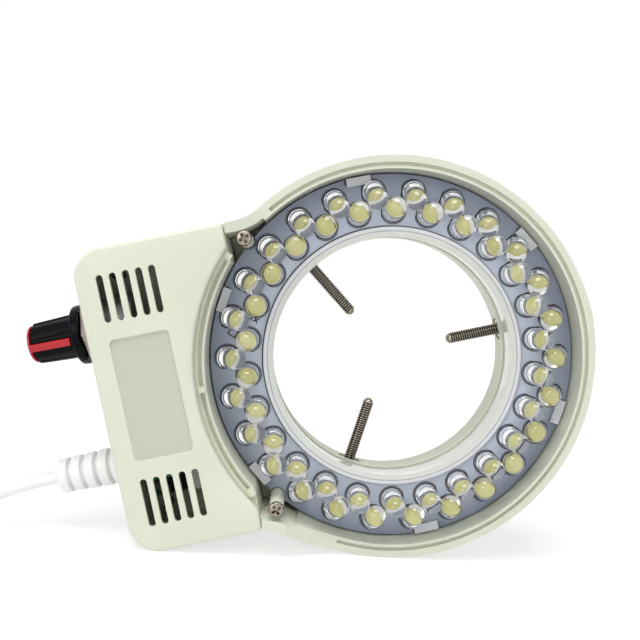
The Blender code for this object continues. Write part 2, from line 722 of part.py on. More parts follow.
# Back shell: ring trough, necks and box tub in one moulding
def make_back_shell():
    shell = prism("back_shell", [housing_outline()], -HOUSING_BACK, LID_FRONT, ivory_abs)
    soften(shell, HOUSING_EDGE)
    high = LID_FRONT + OVERRUN

    trough = prism("trough_cut", [circle(trough_radius)], floor_top, high, collection=cutters)
    combine(shell, trough)
    for name, partition_x, fillet, side in (
        ("upper_pocket_cut", -lid_upper_end, upper_fillet, 1.0),
        ("lower_pocket_cut", -lid_lower_end, lower_fillet, -1.0),
    ):
        pocket = prism(name, [pocket_outline(partition_x, fillet, side)], floor_top, high, collection=cutters)
        combine(shell, pocket)

    tub = prism(
        "tub_cut",
        [box_outline(BOX_WALL, partition_radius, lid_upper_end + BOX_WALL, lid_lower_end + BOX_WALL)],
        floor_top,
        high,
        collection=cutters,
    )
    combine(shell, tub)

    left, over = -box_left - OVERRUN, OVERRUN
    upper_x, lower_x = -lid_upper_end + SEAT_GAP, -lid_lower_end + SEAT_GAP
    upper_y = math.sqrt(ledge_radius**2 - lid_upper_end**2)
    lower_y = -math.sqrt(ledge_radius**2 - lid_lower_end**2)
    lid_seat = prism(
        "lid_seat_cut",
        [[
            (upper_x, BOX_TOP + over),
            (left, BOX_TOP + over),
            (left, -BOX_BOTTOM - over),
            (lower_x, -BOX_BOTTOM - over),
            (lower_x, lower_y),
            (upper_x, upper_y),
        ]],
        wall_top,
        high,
        collection=cutters,
    )
    combine(shell, lid_seat)

    ledge_arc = arc((0.0, 0.0), ledge_radius, math.atan2(upper_y, -lid_upper_end),
                    math.tau + math.atan2(lower_y, -lid_lower_end))
    ledge = prism(
        "ledge_cut",
        [ledge_arc + [(-neck_ramp_end, lower_y), (-neck_ramp_end, upper_y)]],
        LEDGE_FRONT,
        high,
        collection=cutters,
    )
    combine(shell, ledge)

    rim = prism(
        "rim_cut",
        [[
            (-neck_ramp_end, RIM_FRONT),
            (ring_radius + over, RIM_FRONT),
            (ring_radius + over, high),
            (-lid_upper_end, high),
            (-lid_upper_end, LID_FRONT),
        ]],
        -ring_radius - over,
        ring_radius + over,
        collection=cutters,
    )
    rim.rotation_euler = (math.radians(90.0), 0.0, 0.0)
    combine(shell, rim)

    groove_inner = rim_groove_inner_radius
    groove_outer = groove_inner + RIM_GROOVE_WIDTH
    for name, start, end, front in (
        ("rim_groove_cut", -RIM_GROOVE_HALF_ANGLE, RIM_GROOVE_HALF_ANGLE, RIM_FRONT),
        ("ledge_groove_cut", LEDGE_GROOVE_START, LEDGE_GROOVE_END, LEDGE_FRONT),
    ):
        outline = arc((0.0, 0.0), groove_outer, start, end) + arc((0.0, 0.0), groove_inner, end, start)
        groove = prism(name, [outline], front - RIM_GROOVE_DEPTH, high, collection=cutters)
        combine(shell, groove)

    moulded = bmesh.new()
    post_foot = floor_top - FLOOR_THICKNESS / 2
    for x, y in post_places:
        add_rod(moulded, POST_RADIUS, (x, y, post_foot), (x, y, post_top), SMALL_SEGMENTS)
    for x, y in driver_screw_places():
        top = driver_top - DRIVER_THICKNESS - SEAT_GAP
        add_rod(moulded, DRIVER_POST_RADIUS, (x, y, post_foot), (x, y, top), SMALL_SEGMENTS)
    for angle in LEDGE_RIB_ANGLES:
        depth = ledge_radius - trough_radius - SEAT_GAP
        middle = trough_radius + SEAT_GAP + depth / 2
        add_block(
            moulded,
            (depth, LEDGE_RIB_LENGTH, LEDGE_RIB_HEIGHT + OVERRUN),
            (middle, 0.0, LEDGE_FRONT + (LEDGE_RIB_HEIGHT - OVERRUN) / 2),
            angle,
        )
    combine(shell, add_object("moulded_details", mesh_of(moulded, "moulded_details"), None, cutters), "UNION")

    holes = bmesh.new()
    below = -HOUSING_BACK - OVERRUN
    add_rod(holes, floor_bore_radius, (0.0, 0.0, below), (0.0, 0.0, floor_top + OVERRUN), BORE_SEGMENTS)
    pilot = SCREW_SHANK_RADIUS + SEAT_GAP
    for x, y in post_places:
        bottom = post_top - SCREW_SHANK_LENGTH - SEAT_GAP
        add_rod(holes, pilot, (x, y, bottom), (x, y, high), SMALL_SEGMENTS)
    for x, y in driver_screw_places():
        top = driver_top
        add_rod(holes, pilot, (x, y, top - DRIVER_SCREW_SHANK_LENGTH - SEAT_GAP), (x, y, top), SMALL_SEGMENTS)
    for angle in collar_screw_angles():
        x, y = collar_screw_radius() * math.cos(angle), collar_screw_radius() * math.sin(angle)
        add_rod(holes, pilot, (x, y, below), (x, y, floor_top - SEAT_GAP), SMALL_SEGMENTS)
    for x, y in lid_post_places:
        head = LID_SCREW_HEAD_RADIUS + SEAT_GAP
        seat = -HOUSING_BACK + LID_SCREW_HEAD_HEIGHT
        add_rod(holes, head, (x, y, below), (x, y, seat), SMALL_SEGMENTS)
    for y, radius in ((KNOB_Y, BUSHING_RADIUS), (RELIEF_Y, RELIEF_NECK_RADIUS)):
        add_rod(
            holes,
            radius + SEAT_GAP,
            (-box_left - OVERRUN, y, SIDE_AXIS_Z),
            (-box_left + BOX_WALL + OVERRUN, y, SIDE_AXIS_Z),
            ROUND_SEGMENTS,
        )
    slot_depth = partition_radius - trough_radius
    add_block(
        holes,
        (slot_depth + 2 * OVERRUN, WIRE_SLOT_LENGTH, WIRE_SLOT_HEIGHT),
        (trough_radius + slot_depth / 2, 0.0, WIRE_SLOT_Z),
        WIRE_SLOT_ANGLE,
    )
    combine(shell, add_object("shell_holes", mesh_of(holes, "shell_holes"), None, cutters))

    shanks = bmesh.new()
    for x, y in lid_post_places:
        through = LID_SCREW_SHANK_RADIUS + SEAT_GAP
        add_rod(shanks, through, (x, y, below), (x, y, floor_top + OVERRUN), SMALL_SEGMENTS)
    combine(shell, add_object("lid_screw_holes", mesh_of(shanks, "lid_screw_holes"), None, cutters))
    return shell


def driver_screw_places():
    """Two opposite corners of the driver board."""
    return (
        (-driver_left + DRIVER_POST_INSET_X, -DRIVER_BOTTOM + DRIVER_POST_INSET_Y),
        (-driver_right - DRIVER_POST_INSET_X, DRIVER_TOP - DRIVER_POST_INSET_Y),
    )


def collar_screw_radius():
    return (collar_inner_radius + collar_outer_radius) / 2


def collar_screw_angles():
    return [COLLAR_SCREW_FIRST_ANGLE + math.tau * i / THUMB_COUNT for i in range(THUMB_COUNT)]


def thumb_angles():
    return [math.tau * i / THUMB_COUNT for i in range(THUMB_COUNT)]


# Box lid with its vents, its sunk label place and its screw posts
def make_lid():
    outline = box_outline(0.0, lid_arc_radius, lid_upper_end, lid_lower_end)
    lid = prism("box_lid", [outline], lid_under, LID_FRONT, ivory_abs)
    soften(lid, LID_EDGE)
    vents = []
    upper_vent_top = BOX_TOP - VENT_END_INSET
    lower_vent_bottom = VENT_END_INSET - BOX_BOTTOM
    for i in range(VENT_COUNT):
        x = VENT_INSET + i * VENT_PITCH - box_left
        vents.append(slot(x, upper_vent_top - UPPER_VENT_LENGTH, upper_vent_top, VENT_WIDTH))
        vents.append(slot(x, lower_vent_bottom, lower_vent_bottom + LOWER_VENT_LENGTH, VENT_WIDTH))
    low, high = lid_under - OVERRUN, LID_FRONT + OVERRUN
    combine(lid, prism("vent_cut", vents, low, high, collection=cutters))
    label_left = LABEL_INSET - box_left
    label = rounded_rectangle(
        label_left, label_left + LABEL_WIDTH, -LABEL_BOTTOM, LABEL_TOP, LABEL_CORNER_RADIUS
    )
    combine(lid, prism("label_cut", [label], LID_FRONT - LABEL_DEPTH, high, collection=cutters))
    posts = bmesh.new()
    pilots = bmesh.new()
    for x, y in lid_post_places:
        foot = floor_top + SEAT_GAP
        add_rod(posts, LID_POST_RADIUS, (x, y, foot), (x, y, lid_under + LID_THICKNESS / 2))
        top = -HOUSING_BACK + LID_SCREW_LENGTH + SEAT_GAP
        add_rod(pilots, LID_SCREW_SHANK_RADIUS + SEAT_GAP, (x, y, foot - OVERRUN), (x, y, top))
    combine(lid, add_object("lid_posts", mesh_of(posts, "lid_posts"), None, cutters), "UNION")
    combine(lid, add_object("lid_pilots", mesh_of(pilots, "lid_pilots"), None, cutters))
    return lid


def screw_mesh(name, head_radius, head_height, shank_radius, shank_length, cross=True):
    """A pan head screw, its head's underside at zero and its shank below it."""
    screw = turned(
        name,
        [
            (0.0, head_height),
            (head_radius - SCREW_HEAD_EDGE_SHARE * head_height, head_height),
            (head_radius, head_height * SCREW_HEAD_EDGE_SHARE),
            (head_radius, 0.0),
            (shank_radius, 0.0),
            (shank_radius, shank_radius - shank_length),
            (0.0, -shank_length),
        ],
        SMALL_SEGMENTS,
        steel,
    )
    if cross:
        recess = bmesh.new()
        for turn in (0.0, math.radians(90.0)):
            size = (SCREW_CROSS_LENGTH, SCREW_CROSS_WIDTH, SCREW_CROSS_DEPTH + OVERRUN)
            add_block(recess, size, (0.0, 0.0, head_height + (OVERRUN - SCREW_CROSS_DEPTH) / 2), turn)
        recess_object = add_object(name + "_cross", mesh_of(recess, name + "_cross"), None, cutters)
        recess_object.parent = screw
        cut = screw.modifiers.new("Cross", "BOOLEAN")
        cut.object = recess_object
        cut.operation = "DIFFERENCE"
        cut.use_self = True
    return screw


def make_housing_screws():
    for name, (x, y) in zip(("corner_screw_upper", "corner_screw_lower"), post_places):
        screw = screw_mesh(name, SCREW_HEAD_RADIUS, SCREW_HEAD_HEIGHT, SCREW_SHANK_RADIUS, SCREW_SHANK_LENGTH)
        screw.location = (x, y, post_top + SEAT_GAP)
    for i, (x, y) in enumerate(driver_screw_places()):
        screw = screw_mesh(
            f"driver_screw_{i + 1}",
            SCREW_HEAD_RADIUS,
            SCREW_HEAD_HEIGHT,
            SCREW_SHANK_RADIUS,
            DRIVER_SCREW_SHANK_LENGTH,
            cross=False,
        )
        screw.location = (x, y, driver_top + SEAT_GAP)
    for i, (x, y) in enumerate(lid_post_places):
        screw = screw_mesh(
            f"lid_screw_{i + 1}",
            LID_SCREW_HEAD_RADIUS,
            LID_SCREW_HEAD_HEIGHT - SEAT_GAP,
            LID_SCREW_SHANK_RADIUS,
            LID_SCREW_LENGTH - LID_SCREW_HEAD_HEIGHT,
        )
        screw.location = (x, y, -HOUSING_BACK + LID_SCREW_HEAD_HEIGHT - SEAT_GAP)
        screw.rotation_euler = (math.radians(180.0), 0.0, 0.0)
    for i, angle in enumerate(collar_screw_angles()):
        radius = collar_screw_radius()
        screw = screw_mesh(
            f"collar_screw_{i + 1}",
            COLLAR_SCREW_HEAD_RADIUS,
            SCREW_HEAD_HEIGHT,
            SCREW_SHANK_RADIUS,
            collar_screw_shank(),
            cross=False,
        )
        screw.location = (radius * math.cos(angle), radius * math.sin(angle), -collar_screw_seat() - SEAT_GAP)
        screw.rotation_euler = (math.radians(180.0), 0.0, angle)


def collar_screw_seat():
    """Depth behind the LED board at which a collar screw's head rests."""
    return COLLAR_BACK - SCREW_HEAD_HEIGHT - SEAT_GAP


def collar_screw_shank():
    return collar_screw_seat() - HOUSING_BACK + FLOOR_THICKNESS / 2


# Clear carrier: sleeve, shoulder under the board, base plate and hooks
def make_carrier():
    bottom = floor_top + SEAT_GAP
    plate_top = bottom + CARRIER_PLATE_THICKNESS
    shoulder_top = -BOARD_THICKNESS - SEAT_GAP
    shoulder = sleeve_radius + CARRIER_SHOULDER
    carrier = turned(
        "clear_carrier",
        [
            (sleeve_radius, SLEEVE_FRONT),
            (sleeve_radius, shoulder_top),
            (shoulder, shoulder_top),
            (shoulder, plate_top),
            (board_outer_radius, plate_top),
            (board_outer_radius, bottom),
            (BORE_RADIUS + BORE_FLARE, bottom),
            (BORE_RADIUS, SLEEVE_FRONT),
        ],
        BORE_SEGMENTS,
        clear_plastic,
        ring=True,
    )
    hook = hook_mesh(plate_top - CARRIER_PLATE_THICKNESS / 2)
    hooks = bmesh.new()
    for angle in hook_angles():
        added = bmesh.new()
        added.from_mesh(hook)
        added.transform(Matrix.Rotation(angle, 4, "Z"))
        turned_hook = mesh_of(added, "turned_hook")
        hooks.from_mesh(turned_hook)
        bpy.data.meshes.remove(turned_hook)
    combine(carrier, add_object("snap_hooks", mesh_of(hooks, "snap_hooks"), None, cutters), "UNION")
    notches = bmesh.new()
    for x, y in post_places:
        low, high = bottom - OVERRUN, plate_top + OVERRUN
        add_rod(notches, POST_RADIUS + SEAT_GAP, (x, y, low), (x, y, high), ROUND_SEGMENTS)
    combine(carrier, add_object("carrier_notches", mesh_of(notches, "carrier_notches"), None, cutters))
    return carrier


def hook_angles():
    return [HOOK_FIRST_ANGLE + math.tau * i / HOOK_COUNT for i in range(HOOK_COUNT)]


def hook_mesh(foot):
    """One snap hook on the +X side: an upright past the board's edge with a lip over the board."""
    outer = board_outer_radius - HOOK_SETBACK
    inner = outer - HOOK_UPRIGHT
    lip_under = SEAT_GAP
    lip_top = lip_under + HOOK_LIP_THICKNESS
    profile = [
        (outer, foot),
        (outer, lip_top),
        (inner, lip_top),
        (inner - HOOK_LIP, lip_under + HOOK_LIP_THICKNESS / 2),
        (inner - HOOK_LIP, lip_under),
        (inner, lip_under),
        (inner, foot),
    ]
    mesh = prism_mesh("snap_hook", [profile], -HOOK_WIDTH / 2, HOOK_WIDTH / 2)
    mesh.transform(Matrix.Rotation(math.radians(90.0), 4, "X"))
    return mesh


# LED board with its two rows of LEDs soldered on
def make_led_board():
    board = prism(
        "led_board",
        [circle(board_outer_radius), circle(board_inner_radius)],
        -BOARD_THICKNESS,
        0.0,
        board_white,
    )
    notches = bmesh.new()
    notch_depth = HOOK_SETBACK + HOOK_UPRIGHT + SEAT_GAP
    for angle in hook_angles():
        size = (notch_depth + OVERRUN, HOOK_WIDTH + 2 * SEAT_GAP, BOARD_THICKNESS + 2 * OVERRUN)
        middle = board_outer_radius - notch_depth + size[0] / 2
        add_block(notches, size, (middle, 0.0, -BOARD_THICKNESS / 2), angle)
    for x, y in post_places:
        radius = POST_RADIUS + SEAT_GAP
        add_rod(notches, radius, (x, y, -BOARD_THICKNESS - OVERRUN), (x, y, OVERRUN), ROUND_SEGMENTS)
    combine(board, add_object("board_notches", mesh_of(notches, "board_notches"), None, cutters))
    apply_modifiers(board)

    led = turned("led_shape", led_profile(), LED_SEGMENTS, collection=cutters)
    apply_modifiers(led)
    leads = bmesh.new()
    rows = []
    for row, (radius, shift, tilt) in enumerate(
        ((outer_row_radius, 0.0, OUTER_ROW_TILT), (inner_row_radius, ROW_SHIFT_SHARE, INNER_ROW_TILT))
    ):
        leds = bmesh.new()
        for i in range(LED_ROW_COUNT):
            angle = ROW_FIRST_ANGLE + math.tau * (i + shift) / LED_ROW_COUNT
            copy = led.data.copy()
            copy.transform(led_place(radius, angle, tilt))
            leds.from_mesh(copy)
            bpy.data.meshes.remove(copy)
            height = 2 * LED_STANDOFF + BOARD_THICKNESS / 2
            size = (LED_LEAD_THICKNESS, LED_LEAD_SPAN, height)
            add_block(leads, size, (radius, 0.0, height / 2 - BOARD_THICKNESS / 2), angle)
        name = ("outer_leds", "inner_leds")[row]
        rows.append(add_object(name, mesh_of(leds, name), None, cutters))
    bpy.data.objects.remove(led)
    combine(board, add_object("led_leads", mesh_of(leads, "led_leads"), None, cutters), "UNION")
    for row in rows:
        combine(board, row, "UNION")
    return board


def led_profile():
    """A 5 mm LED standing on zero: straight body and dome."""
    dome_start = LED_HEIGHT - LED_BODY_RADIUS
    dome_middle = dome_start + LED_DOME_SHOULDER_SHARE * LED_BODY_RADIUS
    return [
        (0.0, LED_HEIGHT),
        (LED_DOME_SHOULDER_SHARE * LED_BODY_RADIUS, dome_middle),
        (LED_BODY_RADIUS, dome_start),
        (LED_BODY_RADIUS, 0.0),
        (0.0, 0.0),
    ]


def led_place(radius, angle, tilt):
    """Where an LED stands: on its standoff, leaning towards the axis by its row's tilt."""
    return (
        Matrix.Rotation(angle, 4, "Z")
        @ Matrix.Translation((radius, 0.0, LED_STANDOFF))
        @ Matrix.Rotation(-tilt, 4, "Y")
    )


# Collar, bushes and thumb screws
def make_collar():
    top = -HOUSING_BACK - SEAT_GAP
    collar = turned(
        "bore_collar",
        [
            (collar_outer_radius, top),
            (collar_outer_radius, COLLAR_EDGE - COLLAR_BACK),
            (collar_outer_radius - COLLAR_EDGE, -COLLAR_BACK),
            (collar_inner_radius + COLLAR_EDGE, -COLLAR_BACK),
            (collar_inner_radius, COLLAR_EDGE - COLLAR_BACK),
            (collar_inner_radius, top),
        ],
        BORE_SEGMENTS,
        ivory_abs,
        ring=True,
    )
    holes = bmesh.new()
    for angle in thumb_angles():
        inner = radial(collar_inner_radius - OVERRUN, angle)
        outer = radial(collar_outer_radius + OVERRUN, angle)
        add_rod(holes, BUSH_RADIUS + SEAT_GAP, inner, outer, ROUND_SEGMENTS)
    for angle in collar_screw_angles():
        x, y = collar_screw_radius() * math.cos(angle), collar_screw_radius() * math.sin(angle)
        head = COLLAR_SCREW_HEAD_RADIUS + SEAT_GAP
        add_rod(holes, head, (x, y, -COLLAR_BACK - OVERRUN), (x, y, -collar_screw_seat()))
    combine(collar, add_object("collar_holes", mesh_of(holes, "collar_holes"), None, cutters))
    shanks = bmesh.new()
    for angle in collar_screw_angles():
        x, y = collar_screw_radius() * math.cos(angle), collar_screw_radius() * math.sin(angle)
        shank = SCREW_SHANK_RADIUS + SEAT_GAP
        add_rod(shanks, shank, (x, y, -COLLAR_BACK - OVERRUN), (x, y, top + OVERRUN))
    combine(collar, add_object("collar_shank_holes", mesh_of(shanks, "collar_shank_holes"), None, cutters))
    return collar


def radial(radius, angle):
    """A point on a thumb screw's axis."""
    return (radius * math.cos(angle), radius * math.sin(angle), -THUMB_DEPTH)


def make_thumb_screws():
    flat = collar_outer_radius - collar_inner_radius
    bush_length = flat - 2 * SEAT_GAP
    bore = THUMB_ROD_RADIUS + SEAT_GAP
    for i, (angle, reach) in enumerate(zip(thumb_angles(), THUMB_REACHES)):
        bush = turned(
            f"collar_bush_{i + 1}",
            [(BUSH_RADIUS, bush_length), (BUSH_RADIUS, 0.0), (bore, 0.0), (bore, bush_length)],
            ROUND_SEGMENTS,
            brass,
            ring=True,
        )
        bush.location = radial(collar_inner_radius + SEAT_GAP, angle)
        bush.rotation_euler = (0.0, math.radians(90.0), angle)
        head_start = THUMB_ROD_LENGTH
        head_end = THUMB_ROD_LENGTH + THUMB_HEAD_LENGTH
        screw = turned(
            f"thumb_screw_{i + 1}",
            [
                (0.0, head_end),
                (THUMB_HEAD_RADIUS - THUMB_HEAD_EDGE, head_end),
                (THUMB_HEAD_RADIUS, head_end - THUMB_HEAD_EDGE),
                (THUMB_HEAD_RADIUS, head_start + THUMB_HEAD_EDGE),
                (THUMB_HEAD_RADIUS - THUMB_HEAD_EDGE, head_start),
                (THUMB_ROD_RADIUS, head_start),
                (THUMB_ROD_RADIUS, THUMB_TIP_CHAMFER),
                (THUMB_ROD_RADIUS - THUMB_TIP_CHAMFER, 0.0),
                (0.0, 0.0),
            ],
            ROUND_SEGMENTS,
            steel,
        )
        screw.location = radial(BORE_RADIUS - reach, angle)
        screw.rotation_euler = (0.0, math.radians(90.0), angle)


# Dimmer: its own Z is the knob's axis, zero on the box's left face
def side_place(thing, y):
    thing.location = (-box_left, y, SIDE_AXIS_Z)
    return outward(thing)


def make_dimmer():
    body_front = -BOX_WALL - SEAT_GAP
    body_back = body_front - POT_LENGTH
    bore = SHAFT_RADIUS + SEAT_GAP
    bore_end = body_front - SHAFT_DEPTH_IN_POT
    pot = turned(
        "pot_body",
        [
            (bore, bore_end),
            (bore, BUSHING_REACH),
            (BUSHING_RADIUS, BUSHING_REACH),
            (BUSHING_RADIUS, body_front),
            (POT_RADIUS, body_front),
            (POT_RADIUS, body_back),
            (0.0, body_back),
        ],
        ROUND_SEGMENTS,
        grey_metal,
    )
    pot.data.vertices.add(1)
    pot.data.vertices[-1].co = (0.0, 0.0, bore_end)
    pot.data.edges.add(1)
    pot.data.edges[-1].vertices = (len(pot.data.vertices) - 1, 0)
    side_place(pot, KNOB_Y)

    nut_outline = circle(NUT_RADIUS, segments=NUT_SIDES)
    nut_bore = circle(BUSHING_RADIUS + SEAT_GAP, segments=ROUND_SEGMENTS)
    nut = prism("pot_nut", [nut_outline, nut_bore], SEAT_GAP, SEAT_GAP + NUT_THICKNESS, steel)
    side_place(nut, KNOB_Y)

    shaft_end = KNOB_BASE + KNOB_BORE_DEPTH - SEAT_GAP
    shaft = rod(
        "pot_shaft", SHAFT_RADIUS, (0.0, 0.0, bore_end + SEAT_GAP), (0.0, 0.0, shaft_end), steel
    )
    side_place(shaft, KNOB_Y)

    skirt_top = KNOB_BASE + KNOB_SKIRT_THICKNESS
    body_top = KNOB_TIP - KNOB_CAP_THICKNESS - SEAT_GAP
    skirt_edge = KNOB_SKIRT_RADIUS - KNOB_SKIRT_CHAMFER
    knob = turned(
        "knob_body",
        [
            (0.0, body_top),
            (KNOB_TIP_RADIUS, body_top),
            (KNOB_BODY_RADIUS, skirt_top),
            (KNOB_BODY_RADIUS, skirt_top - KNOB_SKIRT_CHAMFER),
            (0.0, skirt_top - KNOB_SKIRT_CHAMFER),
        ],
        KNOB_BODY_SIDES,
        black_plastic,
    )
    side_place(knob, KNOB_Y)
    skirt = turned(
        "knob_skirt",
        [
            (0.0, skirt_top),
            (skirt_edge, skirt_top),
            (KNOB_SKIRT_RADIUS, skirt_top - KNOB_SKIRT_THICKNESS / 2),
            (KNOB_SKIRT_RADIUS, KNOB_BASE),
            (0.0, KNOB_BASE),
        ],
        ROUND_SEGMENTS,
        collection=cutters,
    )
    side_place(skirt, KNOB_Y)
    combine(knob, skirt, "UNION")

    hollow = bmesh.new()
    add_rod(
        hollow,
        SHAFT_RADIUS + SEAT_GAP,
        (0.0, 0.0, KNOB_BASE - OVERRUN),
        (0.0, 0.0, KNOB_BASE + KNOB_BORE_DEPTH),
        ROUND_SEGMENTS,
    )
    groove_bottom = KNOB_STRIPE_SEAT_RADIUS - SEAT_GAP
    groove_depth = KNOB_SKIRT_RADIUS - groove_bottom
    stripe_foot = skirt_top + KNOB_STRIPE_END_GAP
    groove_length = KNOB_TIP - stripe_foot + SEAT_GAP
    add_block(
        hollow,
        (groove_depth, KNOB_STRIPE_WIDTH + 2 * SEAT_GAP, groove_length),
        (groove_bottom + groove_depth / 2, 0.0, stripe_foot - SEAT_GAP + groove_length / 2),
        KNOB_STRIPE_ANGLE,
    )
    hollow_object = add_object("knob_hollow", mesh_of(hollow, "knob_hollow"), None, cutters)
    side_place(hollow_object, KNOB_Y)
    combine(knob, hollow_object)

    cap = turned(
        "knob_pointer",
        [
            (0.0, KNOB_TIP),
            (KNOB_CAP_RADIUS - COMPONENT_EDGE, KNOB_TIP),
            (KNOB_CAP_RADIUS, KNOB_TIP - COMPONENT_EDGE),
            (KNOB_CAP_RADIUS, KNOB_TIP - KNOB_CAP_THICKNESS),
            (0.0, KNOB_TIP - KNOB_CAP_THICKNESS),
        ],
        ROUND_SEGMENTS,
        red_plastic,
    )
    side_place(cap, KNOB_Y)
    stripe = stripe_object(stripe_foot)
    side_place(stripe, KNOB_Y)
    combine(cap, stripe, "UNION")


def stripe_object(foot):
    """The red stripe along the knob: its outer edge follows the body's taper, a little proud."""
    top = KNOB_TIP - KNOB_CAP_THICKNESS / 2
    outer_foot = KNOB_BODY_RADIUS + KNOB_STRIPE_PROUD
    outer_top = KNOB_TIP_RADIUS + KNOB_STRIPE_PROUD
    profile = [
        (KNOB_STRIPE_SEAT_RADIUS, foot),
        (outer_foot, foot),
        (outer_top, top - COMPONENT_EDGE),
        (outer_top - COMPONENT_EDGE, top),
        (KNOB_STRIPE_SEAT_RADIUS, top),
    ]
    mesh = prism_mesh("stripe_shape", [profile], -KNOB_STRIPE_WIDTH / 2, KNOB_STRIPE_WIDTH / 2)
    mesh.transform(
        Matrix.Rotation(KNOB_STRIPE_ANGLE, 4, "Z") @ Matrix.Rotation(math.radians(90.0), 4, "X")
    )
    return add_object("stripe_shape", mesh, None, cutters)


# Strain relief: a ribbed taper moulded on the cord and snapped into the wall
def make_strain_relief():
    outer_start = SEAT_GAP
    tip = RELIEF_LENGTH
    first_groove = tip - RELIEF_TIP_TO_GROOVE - RELIEF_GROOVE_WIDTH / 2

    def radius_at(height):
        share = (height - outer_start) / (tip - outer_start)
        return RELIEF_ROOT_RADIUS + share * (RELIEF_TIP_RADIUS - RELIEF_ROOT_RADIUS)

    profile = [(0.0, tip), (RELIEF_TIP_RADIUS - RELIEF_TIP_EDGE, tip)]
    profile.append((RELIEF_TIP_RADIUS, tip - RELIEF_TIP_EDGE))
    for i in range(RELIEF_GROOVE_COUNT):
        top = first_groove - i * RELIEF_GROOVE_PITCH + RELIEF_GROOVE_WIDTH / 2
        bottom = top - RELIEF_GROOVE_WIDTH
        profile += [
            (radius_at(top), top),
            (radius_at(top) - RELIEF_GROOVE_DEPTH, top),
            (radius_at(bottom) - RELIEF_GROOVE_DEPTH, bottom),
            (radius_at(bottom), bottom),
        ]
    flange_top = -BOX_WALL - SEAT_GAP
    flange_bottom = flange_top - RELIEF_FLANGE_THICKNESS
    cord_end = TERMINAL_SIZE[0] / 2 - TERMINAL_INSET + SEAT_GAP
    profile += [
        (RELIEF_ROOT_RADIUS, outer_start),
        (RELIEF_NECK_RADIUS, outer_start),
        (RELIEF_NECK_RADIUS, flange_top),
        (RELIEF_FLANGE_RADIUS, flange_top),
        (RELIEF_FLANGE_RADIUS, flange_bottom),
        (cord_radius, flange_bottom),
        (cord_radius, cord_end),
        (0.0, cord_end),
    ]
    relief = turned("strain_relief", profile, ROUND_SEGMENTS, white_pvc)
    side_place(relief, RELIEF_Y)


# Driver board and its components
def on_board(size, place):
    """The middle of a component of the given size, standing on the driver board."""
    return (place[0] - box_left, place[1], component_base + size[2] / 2)


def make_driver():
    middle_y = (DRIVER_TOP - DRIVER_BOTTOM) / 2
    board = block(
        "driver_board",
        (DRIVER_WIDTH, DRIVER_TOP + DRIVER_BOTTOM, DRIVER_THICKNESS),
        (DRIVER_WIDTH / 2 - driver_left, middle_y, driver_top - DRIVER_THICKNESS / 2),
        green_board,
    )
    drilled = bmesh.new()
    for x, y in driver_screw_places():
        low, high = driver_top - DRIVER_THICKNESS - OVERRUN, driver_top + OVERRUN
        add_rod(drilled, SCREW_SHANK_RADIUS + SEAT_GAP, (x, y, low), (x, y, high))
    combine(board, add_object("driver_holes", mesh_of(drilled, "driver_holes"), None, cutters))

    for name, size, place, material, edge in (
        ("terminal_block", TERMINAL_SIZE, (TERMINAL_INSET, RELIEF_Y), green_plastic, COMPONENT_EDGE),
        ("bridge_rectifier", RECTIFIER_SIZE, RECTIFIER_PLACE, black_plastic, None),
        ("filter_capacitor", FILTER_SIZE, FILTER_PLACE, orange_film, COMPONENT_EDGE),
        ("controller_chip", CHIP_SIZE, CHIP_PLACE, black_plastic, None),
        ("output_socket", SOCKET_SIZE, SOCKET_PLACE, white_pvc, COMPONENT_EDGE),
    ):
        block(name, size, on_board(size, place), material, edge=edge)

    core = block("transformer", TRANSFORMER_SIZE, on_board(TRANSFORMER_SIZE, TRANSFORMER_PLACE), yellow_tape)
    winding = block(
        "transformer_winding",
        TRANSFORMER_COIL_SIZE,
        on_board(TRANSFORMER_COIL_SIZE, TRANSFORMER_PLACE),
        collection=cutters,
        edge=COMPONENT_EDGE,
    )
    winding.location.z = TRANSFORMER_COIL_LIFT
    combine(core, winding, "UNION")

    can = turned(
        "bulk_capacitor",
        [
            (0.0, CAN_HEIGHT),
            (CAN_RADIUS - CAN_CRIMP, CAN_HEIGHT),
            (CAN_RADIUS, CAN_HEIGHT - CAN_CRIMP),
            (CAN_RADIUS, CAN_CRIMP_HEIGHT + CAN_CRIMP),
            (CAN_RADIUS - CAN_CRIMP, CAN_CRIMP_HEIGHT),
            (CAN_RADIUS, CAN_CRIMP_HEIGHT - CAN_CRIMP),
            (CAN_RADIUS, 0.0),
            (0.0, 0.0),
        ],
        ROUND_SEGMENTS,
        blue_sleeve,
    )
    can.location = (CAN_PLACE[0] - box_left, CAN_PLACE[1], component_base)

    half = FUSE_LENGTH / 2
    cap_radius = FUSE_RADIUS + FUSE_CAP_LIP
    fuse = turned(
        "fuse",
        [
            (0.0, half),
            (cap_radius, half),
            (cap_radius, half - FUSE_CAP_LENGTH),
            (FUSE_RADIUS, half - FUSE_CAP_LENGTH),
            (FUSE_RADIUS, FUSE_CAP_LENGTH - half),
            (cap_radius, FUSE_CAP_LENGTH - half),
            (cap_radius, -half),
            (0.0, -half),
        ],
        SMALL_SEGMENTS,
        glass_tube,
    )
    fuse.rotation_euler = (math.radians(90.0), 0.0, 0.0)
    fuse.location = (FUSE_PLACE[0] - box_left, FUSE_PLACE[1], component_base + cap_radius)


